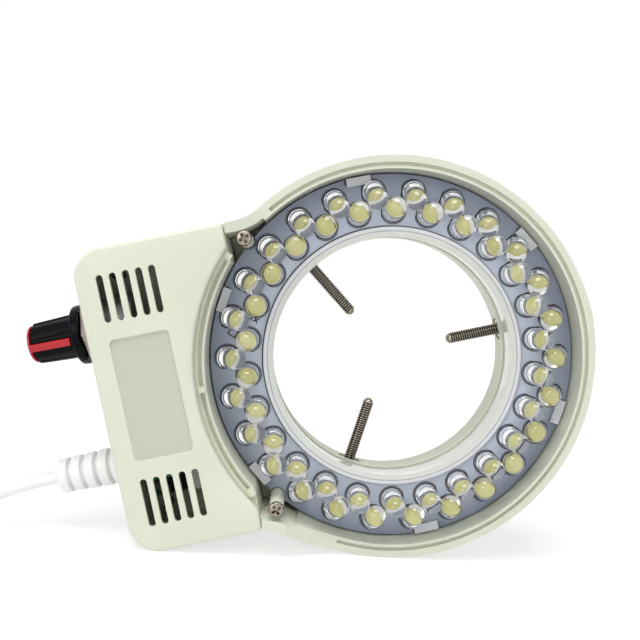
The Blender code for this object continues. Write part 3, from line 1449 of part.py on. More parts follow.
# Wires between driver, dimmer and LED board
def make_wires():
    socket_right = SOCKET_PLACE[0] - box_left + SOCKET_SIZE[0] / 2 + SEAT_GAP
    solder_z = -BOARD_THICKNESS - SEAT_GAP - WIRE_RADIUS
    for name, side, material in (("led_wire_plus", 1.0, red_wire), ("led_wire_minus", -1.0, black_wire)):
        offset = side * WIRE_PITCH / 2
        across = Vector((-math.sin(WIRE_SLOT_ANGLE), math.cos(WIRE_SLOT_ANGLE), 0.0)) * -offset
        along = Vector((math.cos(WIRE_SLOT_ANGLE), math.sin(WIRE_SLOT_ANGLE), 0.0))
        slot_outer = along * (partition_radius + WIRE_RADIUS) + across
        slot_inner = along * (trough_radius - WIRE_RADIUS) + across
        joint = along * (board_outer_radius - WIRE_LANDING) + across
        start = Vector((socket_right, SOCKET_PLACE[1] + offset, component_base + SOCKET_SIZE[2] / 2))
        route = [
            start,
            start + Vector((WIRE_RADIUS, 0.0, 0.0)),
            (slot_outer.x, slot_outer.y, WIRE_SLOT_Z),
            (slot_inner.x, slot_inner.y, WIRE_SLOT_Z),
            (joint.x, joint.y, solder_z),
        ]
        tube(name, smooth_route(route, WIRE_POINTS), WIRE_RADIUS, material, HANK_BEVEL_RESOLUTION)
    for i, material in enumerate((white_wire, red_wire, black_wire)[:POT_WIRE_COUNT]):
        x = POT_WIRE_INSET + i * WIRE_PITCH - box_left
        start_z = component_base + WIRE_RADIUS
        drop = SIDE_AXIS_Z - start_z
        pot_side = KNOB_Y - math.sqrt((POT_RADIUS + SEAT_GAP) ** 2 - drop**2)
        route = [
            (x, pot_side - WIRE_RADIUS, start_z + WIRE_RADIUS),
            (x, (pot_side + DRIVER_TOP) / 2, start_z + WIRE_RADIUS),
            (x, DRIVER_TOP - WIRE_PITCH, start_z),
        ]
        points = smooth_route(route, POT_WIRE_POINTS)
        tube(f"pot_wire_{i + 1}", points, WIRE_RADIUS, material, HANK_BEVEL_RESOLUTION)


# Cord: from the strain relief down to the table and away to the left, where the rest is a tied hank
exit_point = lamp.matrix_world @ Vector(
    (-box_left - RELIEF_LENGTH - SEAT_GAP, RELIEF_Y, SIDE_AXIS_Z)
)
hank_centre = Vector(
    (HANK_CENTRE_X, HANK_CENTRE_Y, FLOOR_GAP + TIE_THICKNESS + SEAT_GAP + cord_radius)
)
mean_fold_radius = HANK_FOLD_RADIUS - HANK_LOOPS_PER_LAYER * HANK_LOOP_PITCH / 2
run_share = HANK_RUN / (HANK_RUN + math.pi * mean_fold_radius)


def hank_radius_and_height(loops):
    """In and out at a steady rate, climbing a layer along the run where the spiral reverses."""
    layer = min(max(int(loops // HANK_LOOPS_PER_LAYER), 0), HANK_LAYERS - 1)
    within = loops - layer * HANK_LOOPS_PER_LAYER
    wound = within if layer % 2 == 0 else HANK_LOOPS_PER_LAYER - within
    climbed = 0.0
    for reversal in range(1, HANK_LAYERS):
        share = (loops - reversal * HANK_LOOPS_PER_LAYER) / (run_share / 2) + 1 / 2
        climbed += (1 - math.cos(math.pi * min(1.0, max(0.0, share)))) / 2
    return HANK_FOLD_RADIUS - wound * HANK_LOOP_PITCH, climbed * HANK_LAYER_PITCH


def hank_place(loops):
    """Where the cord is after so many loops, counted from the middle of the front run.

    A half loop is a straight run to the left and the fold after it. The other half is the same,
    turned about the hank's centre. The runs are drawn in at the waist, under the tie.
    """
    radius, height = hank_radius_and_height(loops)
    half_loops = 2 * loops + run_share / 2
    half = math.floor(half_loops)
    walked = half_loops - half
    if walked < run_share:
        along = 1 / 2 - walked / run_share
        x = along * HANK_RUN
        y = HANK_WAIST_DRAW * math.cos(math.pi * along) ** 2 - radius
    else:
        angle = -math.pi / 2 - math.pi * (walked - run_share) / (1 - run_share)
        x = radius * math.cos(angle) - HANK_RUN / 2
        y = radius * math.sin(angle)
    side = 1 if half % 2 == 0 else -1
    return hank_centre + Vector((side * x, side * y, height))


def hank_points():
    """The hank's centre line, with a straight end of one diameter each side."""
    first = -(run_share + HANK_START_TURN / math.pi * (1 - run_share) * 2) / 4
    last = HANK_LAYERS * HANK_LOOPS_PER_LAYER + run_share / 4
    count = round((last - first) * HANK_POINTS_PER_LOOP)
    points = [hank_place(first + (last - first) * i / count) for i in range(count + 1)]
    arriving = Vector((math.cos(HANK_START_TURN), math.sin(HANK_START_TURN), 0.0))
    leaving = Vector((-1.0, 0.0, 0.0))
    return [points[0] + arriving * CORD_DIAMETER] + points + [points[-1] + leaving * CORD_DIAMETER]


def least_gap(points):
    """The least free space between loops, measured between points more than a quarter loop apart."""
    places = np.array([tuple(p) for p in points])
    apart = HANK_POINTS_PER_LOOP // 4
    least = math.inf
    for i in range(len(places) - apart):
        distances = np.linalg.norm(places[i + apart :] - places[i], axis=1)
        least = min(least, float(distances.min()))
    return least - CORD_DIAMETER


def length_of(points):
    places = np.array([tuple(p) for p in points])
    return float(np.linalg.norm(np.diff(places, axis=0), axis=1).sum())


def make_cord():
    hank = hank_points()
    tube("cord_hank", hank, cord_radius, white_pvc, HANK_BEVEL_RESOLUTION, parent=None)
    print("least gap between the hank's loops, mm:", round(least_gap(hank) * 1000, 3))

    start_gap = (hank[0] - hank[1]).normalized() * SEAT_GAP
    end_gap = (hank[-1] - hank[-2]).normalized() * SEAT_GAP
    route = [tuple(exit_point), *CORD_ROUTE, tuple(hank[0] + start_gap)]
    free = smooth_route(route, CORD_POINTS)
    tube("power_cord", free, cord_radius, white_pvc, CORD_BEVEL_RESOLUTION, parent=None)

    hank_top = hank_centre.z + (HANK_LAYERS - 1) * HANK_LAYER_PITCH + cord_radius
    plug_start = hank_centre + Vector((PLUG_X_FROM_FOLD - HANK_RUN / 2, PLUG_Y_FROM_CENTRE, 0.0))
    plug_start.z = hank_top + SEAT_GAP + TIE_THICKNESS + SEAT_GAP + PLUG_HEIGHT / 2
    tail_end = plug_start - Vector((SEAT_GAP, 0.0, 0.0))
    tail = smooth_route([tuple(hank[-1] + end_gap), *TAIL_ROUTE, tuple(tail_end)], CORD_POINTS)
    tube("cord_tail", tail, cord_radius, white_pvc, CORD_BEVEL_RESOLUTION, parent=None)
    lengths = [length_of(points) for points in (free, hank, tail)]
    print("cord length, m:", round(sum(lengths), 4), "in three stretches:", [round(l, 4) for l in lengths])
    make_tie(hank_top)
    make_plug(plug_start)


def make_tie(hank_top):
    """A flat tie round the hank's waist, a square loop with cut corners."""
    loops = HANK_LAYERS * HANK_LOOPS_PER_LAYER
    front = hank_place(loops).y - cord_radius
    back = hank_place(loops - 1 / 2).y + cord_radius
    bottom = hank_centre.z - cord_radius
    inner = SEAT_GAP
    outer = SEAT_GAP + TIE_THICKNESS
    inside = rounded_rectangle(
        front - inner, back + inner, bottom - inner, hank_top + inner, TIE_CORNER_RADIUS
    )
    outside = rounded_rectangle(
        front - outer, back + outer, bottom - outer, hank_top + outer, TIE_CORNER_RADIUS + TIE_THICKNESS
    )
    mesh = prism_mesh("hank_tie", [outside, inside], -TIE_WIDTH / 2, TIE_WIDTH / 2)
    upright = Matrix.Rotation(math.radians(90.0), 4, "Z") @ Matrix.Rotation(math.radians(90.0), 4, "X")
    mesh.transform(upright)
    tie = add_object("hank_tie", mesh, black_plastic, parent=None)
    tie.location.x = hank_centre.x


def make_plug(start):
    """A small two-pin plug lying on the hank, pointing back along it."""
    body_start = start.x + PLUG_TAIL_LENGTH
    body = block(
        "plug_body",
        (PLUG_LENGTH, PLUG_WIDTH, PLUG_HEIGHT),
        (body_start + PLUG_LENGTH / 2, start.y, start.z),
        white_pvc,
    )
    body.parent = None
    soften(body, PLUG_EDGE)
    tail = bmesh.new()
    add_rod(
        tail,
        PLUG_TAIL_TIP_RADIUS,
        start,
        (body_start + PLUG_EDGE, start.y, start.z),
        SMALL_SEGMENTS,
        PLUG_TAIL_RADIUS,
    )
    tail_object = add_object("plug_tail", mesh_of(tail, "plug_tail"), None, cutters, None)
    combine(body, tail_object, "UNION")
    sockets = bmesh.new()
    face = body_start + PLUG_LENGTH
    for i, side in enumerate((-1.0, 1.0)):
        y = start.y + side * PLUG_PIN_SPACING / 2
        depth = PLUG_PIN_SOCKET_DEPTH + OVERRUN
        hole = (depth, PLUG_PIN_THICKNESS + 2 * SEAT_GAP, PLUG_PIN_WIDTH + 2 * SEAT_GAP)
        add_block(sockets, hole, (face - PLUG_PIN_SOCKET_DEPTH + depth / 2, y, start.z))
        length = PLUG_PIN_LENGTH + PLUG_PIN_SOCKET_DEPTH - SEAT_GAP
        pin = block(
            f"plug_pin_{i + 1}",
            (length, PLUG_PIN_THICKNESS, PLUG_PIN_WIDTH),
            (face + PLUG_PIN_LENGTH - length / 2, y, start.z),
            brass,
        )
        pin.parent = None
    sockets_object = add_object("pin_sockets", mesh_of(sockets, "pin_sockets"), None, cutters, None)
    combine(body, sockets_object)


make_back_shell()
make_lid()
make_housing_screws()
make_carrier()
make_led_board()
make_collar()
make_thumb_screws()
make_dimmer()
make_strain_relief()
make_driver()
make_wires()
make_cord()
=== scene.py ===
# %% [markdown]
# # A microscope ring light, dressed for a photograph
#
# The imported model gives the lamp's true sizes and its moving bodies. This script keeps that frame, and
# makes the fine surfaces over it: the ivory housing, the clear sleeve, fifty-two LEDs on their board,
# the knob, the thumb screws and the folded cord. All but the cord is built in the lamp's own frame, in
# which X runs to the right, Y up along the box and Z out of the front, and is then stood on its rim.

from math import acos, atan2, ceil, cos, floor, pi, radians, sin, sqrt, tau

import bmesh
import bpy
import numpy as np
from mathutils import Matrix, Vector


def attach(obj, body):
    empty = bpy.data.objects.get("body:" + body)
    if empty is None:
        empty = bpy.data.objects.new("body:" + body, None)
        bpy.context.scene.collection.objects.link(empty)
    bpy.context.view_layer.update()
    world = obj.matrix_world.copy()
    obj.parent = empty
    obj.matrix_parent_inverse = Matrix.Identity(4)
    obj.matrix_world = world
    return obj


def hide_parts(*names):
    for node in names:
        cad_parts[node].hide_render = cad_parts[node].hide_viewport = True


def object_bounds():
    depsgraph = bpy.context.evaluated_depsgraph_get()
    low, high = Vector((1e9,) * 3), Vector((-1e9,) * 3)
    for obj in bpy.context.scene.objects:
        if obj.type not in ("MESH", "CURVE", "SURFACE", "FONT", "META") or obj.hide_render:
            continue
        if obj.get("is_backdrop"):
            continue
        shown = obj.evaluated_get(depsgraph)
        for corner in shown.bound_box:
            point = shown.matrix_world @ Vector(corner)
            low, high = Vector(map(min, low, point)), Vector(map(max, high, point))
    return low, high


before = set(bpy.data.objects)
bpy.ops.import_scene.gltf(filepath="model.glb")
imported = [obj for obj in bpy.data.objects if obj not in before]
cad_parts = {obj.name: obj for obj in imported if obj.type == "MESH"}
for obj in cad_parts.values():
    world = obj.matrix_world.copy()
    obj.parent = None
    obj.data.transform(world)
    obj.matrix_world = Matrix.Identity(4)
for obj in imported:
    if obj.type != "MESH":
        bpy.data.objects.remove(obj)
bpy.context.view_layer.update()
print("nodes:", len(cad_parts))

MM = 0.001
QUARTER = radians(90.0)
LEAN = radians(15.85907)
RING_RADIUS = 47.8 * MM
SEAT_GAP = 0.3 * MM
OVERRUN = 1.0 * MM


def moved(place):
    return Matrix.Translation(place)


def turned(axis, angle=QUARTER):
    return Matrix.Rotation(angle, 4, axis)


def new_object(name, data):
    """A new object in the scene."""
    made = bpy.data.objects.new(name, data)
    bpy.context.scene.collection.objects.link(made)
    return made


LAMP = moved((19.897 * MM, -2.5 * MM, RING_RADIUS)) @ turned("Y", -LEAN) @ turned("X")

# %% [markdown]
# ## Camera
#
# The camera was fitted to the photograph's circles: the printed ring on the board, the two ends of the
# bore, the rim's groove and the outline. Its place and turn are given in the lamp's frame.

# %% Camera
CAMERA_PLACE = (-19.21 * MM, 21.97 * MM, 173.32 * MM)
CAMERA_TURN = (radians(-2.919), radians(-1.794), radians(-11.33))
FOCAL_PIXELS = 712.78
FRAME_PIXELS = 640.0
SENSOR_WIDTH = 36.0

camera_data = bpy.data.cameras.new("camera")
camera_data.sensor_width = SENSOR_WIDTH
camera_data.lens = SENSOR_WIDTH * FOCAL_PIXELS / FRAME_PIXELS
camera_data.clip_start = 0.01
camera_data.clip_end = 20.0
camera = new_object("camera", camera_data)
x, y, z = CAMERA_TURN
turn = turned("Z", z) @ turned("Y", y) @ turned("X", x)
camera.matrix_world = LAMP @ moved(CAMERA_PLACE) @ turn
bpy.context.scene.camera = camera
print("camera at, mm:", [round(c * 1000, 1) for c in camera.matrix_world.translation])

# %% [markdown]
# ## Materials
#
# Each material is a Principled shader with the fine detail that the real one shows. Three also have light
# and shade painted into their colour: reflections on the clear sleeve, shade towards the board's outer
# edge and shade in the nickel's recesses. Patterns are placed by object coordinates, and since every piece
# sits at the origin, those are metres in the lamp's world. A pattern's scale is therefore one over the size
# of its features.

# %% Material helpers
COLOUR_PATCH = 9.0 * MM
NOISE_RANGE = (0.3, 0.7)


def linear(code):
    """An sRGB colour written as RRGGBB, as linear values."""
    channels = [int(code[i : i + 2], 16) / 255 for i in (0, 2, 4)]
    return tuple(c / 12.92 if c <= 0.04045 else ((c + 0.055) / 1.055) ** 2.4 for c in channels)


def add(tree, kind, inputs=None, **settings):
    """Adds a node, sets its properties, and sets or links its inputs."""
    made = tree.nodes.new(kind)
    for key, value in settings.items():
        setattr(made, key, value)
    for key, value in (inputs or {}).items():
        if isinstance(value, bpy.types.NodeSocket):
            tree.links.new(value, made.inputs[key])
        else:
            made.inputs[key].default_value = value
    return made


def maths(tree, operation, *values):
    """The result of a sum on values or sockets."""
    return add(tree, "ShaderNodeMath", dict(enumerate(values)), operation=operation).outputs[0]


def new_material(name, colour, roughness, **inputs):
    material = bpy.data.materials.new(name)
    material.use_nodes = True
    shader = material.node_tree.nodes["Principled BSDF"]
    shader.inputs["Base Color"].default_value = (*linear(colour), 1.0)
    shader.inputs["Roughness"].default_value = roughness
    for key, value in inputs.items():
        shader.inputs[key.replace("_", " ")].default_value = value
    return material


def colour_stops(tree, value, stops):
    """Colours a material by a value from 0 to 1, with an sRGB colour at each stop."""
    ramp = add(tree, "ShaderNodeValToRGB", {"Fac": value})
    elements = ramp.color_ramp.elements
    for place, code in stops[1:-1]:
        elements.new(place).color = (*linear(code), 1.0)
    for element, (place, code) in ((elements[0], stops[0]), (elements[-1], stops[-1])):
        element.position = place
        element.color = (*linear(code), 1.0)
    tree.links.new(ramp.outputs["Color"], tree.nodes["Principled BSDF"].inputs["Base Color"])


def grained(name, colours, grain, depth, rough_low, rough_high, **inputs):
    """A material with fine grain, uneven gloss and one colour or two. Grain and depth are in mm."""
    material = new_material(name, colours[0], rough_low, **inputs)
    tree = material.node_tree
    shader = tree.nodes["Principled BSDF"]
    place = add(tree, "ShaderNodeTexCoord").outputs["Object"]
    fine = add(tree, "ShaderNodeTexNoise", {"Vector": place, "Scale": 1 / (grain * MM), "Detail": 3.0})
    slow = add(tree, "ShaderNodeTexNoise", {"Vector": place, "Scale": 1 / COLOUR_PATCH, "Detail": 4.0})
    bump = {"Height": fine.outputs["Fac"], "Distance": depth * MM, "Strength": 1.0}
    tree.links.new(add(tree, "ShaderNodeBump", bump).outputs["Normal"], shader.inputs["Normal"])
    low, high = NOISE_RANGE
    ends = {"From Min": low, "From Max": high, "To Min": rough_low, "To Max": rough_high}
    uneven = add(tree, "ShaderNodeMapRange", {"Value": slow.outputs["Fac"], **ends})
    tree.links.new(uneven.outputs["Result"], shader.inputs["Roughness"])
    if len(colours) == 2:
        colour_stops(tree, slow.outputs["Fac"], list(zip(NOISE_RANGE, colours)))
    return material


def paint_light_by_radius(material, low, high, stops):
    """Paints light and shade into a material's colour by the distance from the ring's middle."""
    tree = material.node_tree
    place = tree.nodes["Texture Coordinate"].outputs["Object"]
    offset = add(tree, "ShaderNodeVectorMath", {0: place, 1: tuple(LAMP.translation)}, operation="DISTANCE")
    share = add(
        tree, "ShaderNodeMapRange", {"Value": offset.outputs["Value"], "From Min": low, "From Max": high}
    )
    colour_stops(tree, share.outputs["Result"], stops)


# %% Materials
# Painted reflections on the clear sleeve: bright bands and grey and dark lines, set by radius.
SLEEVE_PAINTED_LIGHT_STOPS = (
    (0.0, "E7EBE1"), (0.34, "F0F3EC"), (0.39, "A9ABBA"), (0.44, "FAFAFB"),
    (0.64, "F6F6F8"), (0.70, "6A6C76"), (0.75, "6A6C76"), (1.0, "E2E4EA"),
)
# Painted shade on the board: darker towards its outer edge, where the rim shades it.
BOARD_PAINTED_SHADE_STOPS = ((0.0, "CED7E6"), (1.0, "8D95AA"))
# Painted shade on the nickel: dark in thread grooves and cross recesses, set by ambient occlusion.
NICKEL_PAINTED_SHADE_STOPS = ((0.5, "1A150F"), (0.92, "9C9387"))

ivory_abs = grained(
    "ivory_abs", ["DADCC9", "DDDFCD"], 0.28, 0.012, 0.40, 0.48,
    Subsurface_Weight=0.08, Subsurface_Scale=0.8 * MM,
)
ivory_matt = grained("ivory_abs_matt", ["C4C7B6"], 0.3, 0.01, 0.55, 0.65)
clear_plastic = grained(
    "clear_polycarbonate", ["FBFBFD"], 1.2, 0.004, 0.04, 0.10, Transmission_Weight=0.12, IOR=1.58
)
# The sleeve's colour is painted reflection: bright bands and grey and dark lines by radius.
paint_light_by_radius(clear_plastic, 29.0 * MM, 33.0 * MM, SLEEVE_PAINTED_LIGHT_STOPS)
lens_epoxy = new_material("lens_epoxy", "FFFFFF", 0.01, Transmission_Weight=1.0, IOR=1.51)
board_mask = grained(
    "white_solder_mask", ["A3ABBC"], 0.35, 0.004, 0.32, 0.42, Coat_Weight=0.2, Coat_Roughness=0.2
)
# The board's colour carries painted shade, darkening towards the outer edge under the rim.
paint_light_by_radius(board_mask, 33.0 * MM, 44.5 * MM, BOARD_PAINTED_SHADE_STOPS)
print_ink = grained("black_print", ["14151A"], 0.2, 0.002, 0.5, 0.6)
phosphor = grained("yellow_phosphor", ["BFBB72", "D6D498"], 0.12, 0.006, 0.6, 0.8)
lead_metal = grained("tinned_lead", ["C9C9C6"], 0.3, 0.002, 0.2, 0.36, Metallic=1.0)
nickel = grained("nickel_plated_steel", ["BDB8AE"], 0.25, 0.003, 0.18, 0.34, Metallic=1.0)
# Painted shade: the nickel's colour darkens in recesses by ambient occlusion.
recess_shade = add(nickel.node_tree, "ShaderNodeAmbientOcclusion", {"Distance": 0.5 * MM})
colour_stops(nickel.node_tree, recess_shade.outputs["AO"], NICKEL_PAINTED_SHADE_STOPS)
brass = grained("plated_brass", ["DAD8D0"], 0.3, 0.003, 0.44, 0.6, Metallic=1.0)
black_plastic = grained(
    "black_plastic", ["040508", "07080D"], 0.22, 0.004, 0.2, 0.3, Specular_IOR_Level=0.08
)
red_plastic = grained(
    "red_plastic", ["A9101B", "C41924"], 0.2, 0.004, 0.26, 0.38,
    Subsurface_Weight=0.05, Subsurface_Scale=0.4 * MM,
)
white_pvc = grained(
    "white_pvc", ["F1F1F0", "F6F6F5"], 0.3, 0.006, 0.36, 0.5,
    Subsurface_Weight=0.1, Subsurface_Scale=0.6 * MM,
)
green_board = grained(
    "green_fibreglass", ["225C33", "2C7041"], 0.4, 0.004, 0.3, 0.42, Coat_Weight=0.4, Coat_Roughness=0.15
)
green_plastic = grained("green_plastic", ["2F7D4A"], 0.25, 0.006, 0.4, 0.52)
orange_film = grained("orange_dipped_film", ["B8461E"], 0.5, 0.012, 0.28, 0.45)
yellow_tape = grained("yellow_polyester_tape", ["D8B53A"], 0.5, 0.006, 0.32, 0.5)
blue_sleeve = grained("blue_shrink_sleeve", ["22407A"], 0.4, 0.004, 0.24, 0.4)
fuse_glass = new_material("fuse_glass", "F2F6F4", 0.02, Transmission_Weight=1.0, IOR=1.5)
pressed_metal = grained("pressed_zinc", ["9A9B9D"], 0.5, 0.006, 0.3, 0.46, Metallic=1.0)
red_wire = grained("red_wire_pvc", ["B3202A"], 0.2, 0.004, 0.4, 0.5)
black_wire = grained("black_wire_pvc", ["1C1C1E"], 0.2, 0.004, 0.4, 0.5)
white_wire = grained("white_wire_pvc", ["E6E6E2"], 0.2, 0.004, 0.4, 0.5)
print("materials:", len(bpy.data.materials))

# %% [markdown]
# ## Shape helpers
#
# Flat shapes are drawn as outlines and extruded. Turned shapes are lathed from a profile, whose corners
# are rounded first, as a mould's or a lathe's are.

# %% Shape helpers
SAME_POINT = 0.001 * MM
STRAIGHT_ANGLE = radians(0.2)
CORNER_LIMIT = 2.2


def in_mm(*points, above=0.0):
    """Points written in millimetres, as metres. Their heights can be counted from a level."""
    return [(*(c * MM for c in point[:-1]), above + point[-1] * MM) for point in points]


def arc(centre, radius, start, end, step=radians(1.5)):
    count = max(1, ceil(abs(end - start) / step))
    return [
        (centre[0] + radius * cos(a), centre[1] + radius * sin(a))
        for a in np.linspace(start, end, count + 1)
    ]


def circle(radius, centre=(0.0, 0.0), segments=180):
    return arc(centre, radius, 0.0, tau, tau / segments)[:-1]


def slot_outline(x, bottom, top, width):
    step = radians(15.0)
    return arc((x, top), width / 2, 0.0, pi, step) + arc((x, bottom), width / 2, pi, tau, step)


def rounded_rectangle(left, right, bottom, top, radius):
    left, right, bottom, top = left + radius, right - radius, bottom + radius, top - radius
    points = []
    for i, corner in enumerate(((right, top), (left, top), (left, bottom), (right, bottom))):
        points += arc(corner, radius, i * QUARTER, (i + 1) * QUARTER, radians(10.0))
    return points


def soften(points, radius, ring=False, steps=3):
    """The same line of points with its corners rounded."""
    count = len(points)
    result = []
    for i, point in enumerate(points):
        here = Vector(point)
        if not ring and i in (0, count - 1):
            result.append(tuple(here))
            continue
        before, after = Vector(points[i - 1]), Vector(points[(i + 1) % count])
        reach_in = min(radius, (before - here).length / CORNER_LIMIT)
        reach_out = min(radius, (after - here).length / CORNER_LIMIT)
        enter = here + (before - here).normalized() * reach_in
        leave = here + (after - here).normalized() * reach_out
        for t in np.linspace(0.0, 1.0, steps + 1):
            result.append(tuple(enter * (1 - t) ** 2 + here * (2 * t * (1 - t)) + leave * t**2))
    return result


def mesh_object(bm, name, material=None):
    mesh = bpy.data.meshes.new(name)
    bm.to_mesh(mesh)
    bm.free()
    if material is not None:
        mesh.materials.append(material)
    return new_object(name, mesh)


def object_from(bm, name, material=None):
    bmesh.ops.recalc_face_normals(bm, faces=bm.faces)
    return mesh_object(bm, name, material)


def evaluated(thing):
    bpy.context.view_layer.update()
    return bpy.data.meshes.new_from_object(thing.evaluated_get(bpy.context.evaluated_depsgraph_get()))


def add_line(curve, points):
    """Adds a line through points to a curve."""
    line = curve.splines.new("POLY")
    line.points.add(len(points) - 1)
    for point, place in zip(line.points, points):
        point.co = (*place, 1.0)
    return line


def prism(name, outlines, low, high, material=None):
    """A flat shape, with any holes, extruded between two heights."""
    curve = bpy.data.curves.new(name, "CURVE")
    curve.dimensions = "2D"
    curve.fill_mode = "BOTH"
    curve.extrude = (high - low) / 2
    for outline in outlines:
        add_line(curve, [(x, y, 0.0) for x, y in outline]).use_cyclic_u = True
    drawn = new_object(name, curve)
    bm = bmesh.new()
    bm.from_mesh(evaluated(drawn))
    bpy.data.objects.remove(drawn)
    bmesh.ops.remove_doubles(bm, verts=bm.verts, dist=SAME_POINT)
    bmesh.ops.dissolve_limit(bm, verts=bm.verts, edges=bm.edges, angle_limit=STRAIGHT_ANGLE)
    bmesh.ops.translate(bm, verts=bm.verts, vec=(0.0, 0.0, (low + high) / 2))
    return object_from(bm, name, material)


def lathe(name, profile, segments, material, ring=False, shape=None):
    """A turned piece about Z. shape, if given, changes a radius by its height and angle."""
    bm = bmesh.new()
    rows = []
    for radius, height in profile:
        row = []
        for angle in (tau * i / segments for i in range(segments if radius else 1)):
            reach = radius if shape is None else shape(radius, height, angle)
            row.append(bm.verts.new((reach * cos(angle), reach * sin(angle), height)))
        rows.append(row)
    pairs = list(zip(rows, rows[1:]))
    if ring:
        pairs.append((rows[-1], rows[0]))
    for upper, lower in pairs:
        for i in range(segments):
            j = (i + 1) % segments
            if len(upper) == 1:
                bm.faces.new((upper[0], lower[i], lower[j]))
            elif len(lower) == 1:
                bm.faces.new((upper[j], upper[i], lower[0]))
            else:
                bm.faces.new((upper[j], upper[i], lower[i], lower[j]))
    return object_from(bm, name, material)


def add_block(bm, size, centre, turn=0.0):
    made = bmesh.ops.create_cube(bm, size=1.0)
    place = turned("Z", turn) @ moved(centre) @ Matrix.Diagonal((*size, 1.0))
    bmesh.ops.transform(bm, matrix=place, verts=made["verts"])


def add_rod(bm, radius, start, end, segments=32, end_radius=None):
    start, end = Vector(start), Vector(end)
    along = end - start
    place = moved((start + end) / 2) @ along.to_track_quat("Z", "Y").to_matrix().to_4x4()
    bmesh.ops.create_cone(
        bm, cap_ends=True, segments=segments, radius1=radius,
        radius2=radius if end_radius is None else end_radius, depth=along.length, matrix=place,
    )


def apply_modifier(thing, kind, **settings):
    modifier = thing.modifiers.new(kind, kind)
    for key, value in settings.items():
        setattr(modifier, key, value)
    mesh = evaluated(thing)
    thing.modifiers.clear()
    thing.data = mesh


def combine(thing, other, operation="DIFFERENCE"):
    """Cuts one object with another, or joins them, and removes the other."""
    apply_modifier(thing, "BOOLEAN", object=other, operation=operation, solver="EXACT")
    bpy.data.objects.remove(other)


def cut(thing, outlines, low, high):
    """Cuts flat shapes out of a piece, between two heights."""
    combine(thing, prism("cutter", outlines, low, high))


def bevel(thing, width, segments=2, angle=30.0):
    """Rounds the edges that turn by more than an angle in degrees."""
    apply_modifier(
        thing, "BEVEL", width=width, segments=segments, limit_method="ANGLE", angle_limit=radians(angle)
    )


def merge(name, things, material=None):
    """Several objects' meshes in one new object."""
    bm = bmesh.new()
    for thing in things:
        mesh = thing.data.copy()
        mesh.transform(thing.matrix_world)
        bm.from_mesh(mesh)
        bpy.data.meshes.remove(mesh)
        bpy.data.objects.remove(thing)
    return mesh_object(bm, name, material)


def side_place(height):
    """The frame of a piece on the box's left side: its Z points out of the side face."""
    return moved((-BOX_LEFT, height, SIDE_AXIS_Z)) @ turned("Y", -QUARTER)


def dress(thing, slot, *nodes, place=None, body="ring_light", sharp=32.0, stand=True):
    """Stands a finished piece in the world, shades it, hangs it on the body it rides on and hides the nodes
    it stands for.
    """
    if place is not None:
        thing.data.transform(place)
    if stand:
        thing.data.transform(LAMP)
    thing.data.shade_smooth()
    thing.data.set_sharp_from_angle(angle=radians(sharp))
    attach(thing, body)
    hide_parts(*nodes)


# %% [markdown]
# ## Cord
#
# The cord leaves the strain relief, sinks to the table and runs off to the left. What the photograph
# doesn't show of its 1.5 m is folded into a tied hank outside the view, with its plug lying on it.
# The route's points are those of the part's source.

# %% Cord
BOX_LEFT = 68.3 * MM
SIDE_AXIS_Z = 1.2 * MM
KNOB_Y = 20.1 * MM
RELIEF_Y = -12.4 * MM
RELIEF_LENGTH = 16.2 * MM
CORD_DIAMETER = 3.2 * MM
HANK_LAYERS = 4
HANK_LOOPS_PER_LAYER = 2
HANK_LOOP_PITCH = 3.85 * MM
HANK_LAYER_PITCH = 3.75 * MM
HANK_RUN = 43.5 * MM
HANK_FOLD_RADIUS = 16.9 * MM
HANK_WAIST_DRAW = 4.0 * MM
HANK_CENTRE_X = -126.2 * MM
HANK_START_TURN = radians(29.0)
TIE_WIDTH = 4.0 * MM
TIE_THICKNESS = 0.6 * MM
TIE_CORNER = 0.8 * MM
FLOOR_GAP = 0.1 * MM
PLUG_HEIGHT = 13.0 * MM
PLUG_PLACE = (0.6 * MM - HANK_RUN / 2, 8.2 * MM, 0.0)
POINTS_PER_LOOP = 96
POINTS_PER_ROUTE = 48
POINTS_PER_SPAN = 24

CORD_ROUTE = (
    (-0.0635, -0.0037, 0.0112), (-0.0687, -0.0037, 0.0093), (-0.0739, -0.0040, 0.0071),
    (-0.0789, -0.0053, 0.0050), (-0.0840, -0.0078, 0.0035), (-0.0893, -0.0109, 0.0028),
)
TAIL_ROUTE = (
    (-0.1534, -0.0172, 0.0139), (-0.1580, -0.0154, 0.0152), (-0.1623, -0.0110, 0.0169),
    (-0.1640, -0.0046, 0.0190), (-0.1623, 0.0018, 0.0209), (-0.1580, 0.0062, 0.0224),
    (-0.1534, 0.0081, 0.0231),
)
cord_radius = CORD_DIAMETER / 2
exit_point = LAMP @ Vector((-BOX_LEFT - RELIEF_LENGTH - SEAT_GAP, RELIEF_Y, SIDE_AXIS_Z))
hank_centre = Vector((HANK_CENTRE_X, 0.0, FLOOR_GAP + TIE_THICKNESS + SEAT_GAP + cord_radius))
mean_fold_radius = HANK_FOLD_RADIUS - HANK_LOOPS_PER_LAYER * HANK_LOOP_PITCH / 2
run_share = HANK_RUN / (HANK_RUN + pi * mean_fold_radius)
loop_count = HANK_LAYERS * HANK_LOOPS_PER_LAYER


def hank_radius_and_height(loops):
    """In and out at a steady rate, climbing a layer along the run where the spiral reverses."""
    layer = min(max(int(loops // HANK_LOOPS_PER_LAYER), 0), HANK_LAYERS - 1)
    within = loops - layer * HANK_LOOPS_PER_LAYER
    wound = within if layer % 2 == 0 else HANK_LOOPS_PER_LAYER - within
    climbed = 0.0
    for reversal in range(1, HANK_LAYERS):
        share = (loops - reversal * HANK_LOOPS_PER_LAYER) / (run_share / 2) + 1 / 2
        climbed += (1 - cos(pi * min(1.0, max(0.0, share)))) / 2
    return HANK_FOLD_RADIUS - wound * HANK_LOOP_PITCH, climbed * HANK_LAYER_PITCH


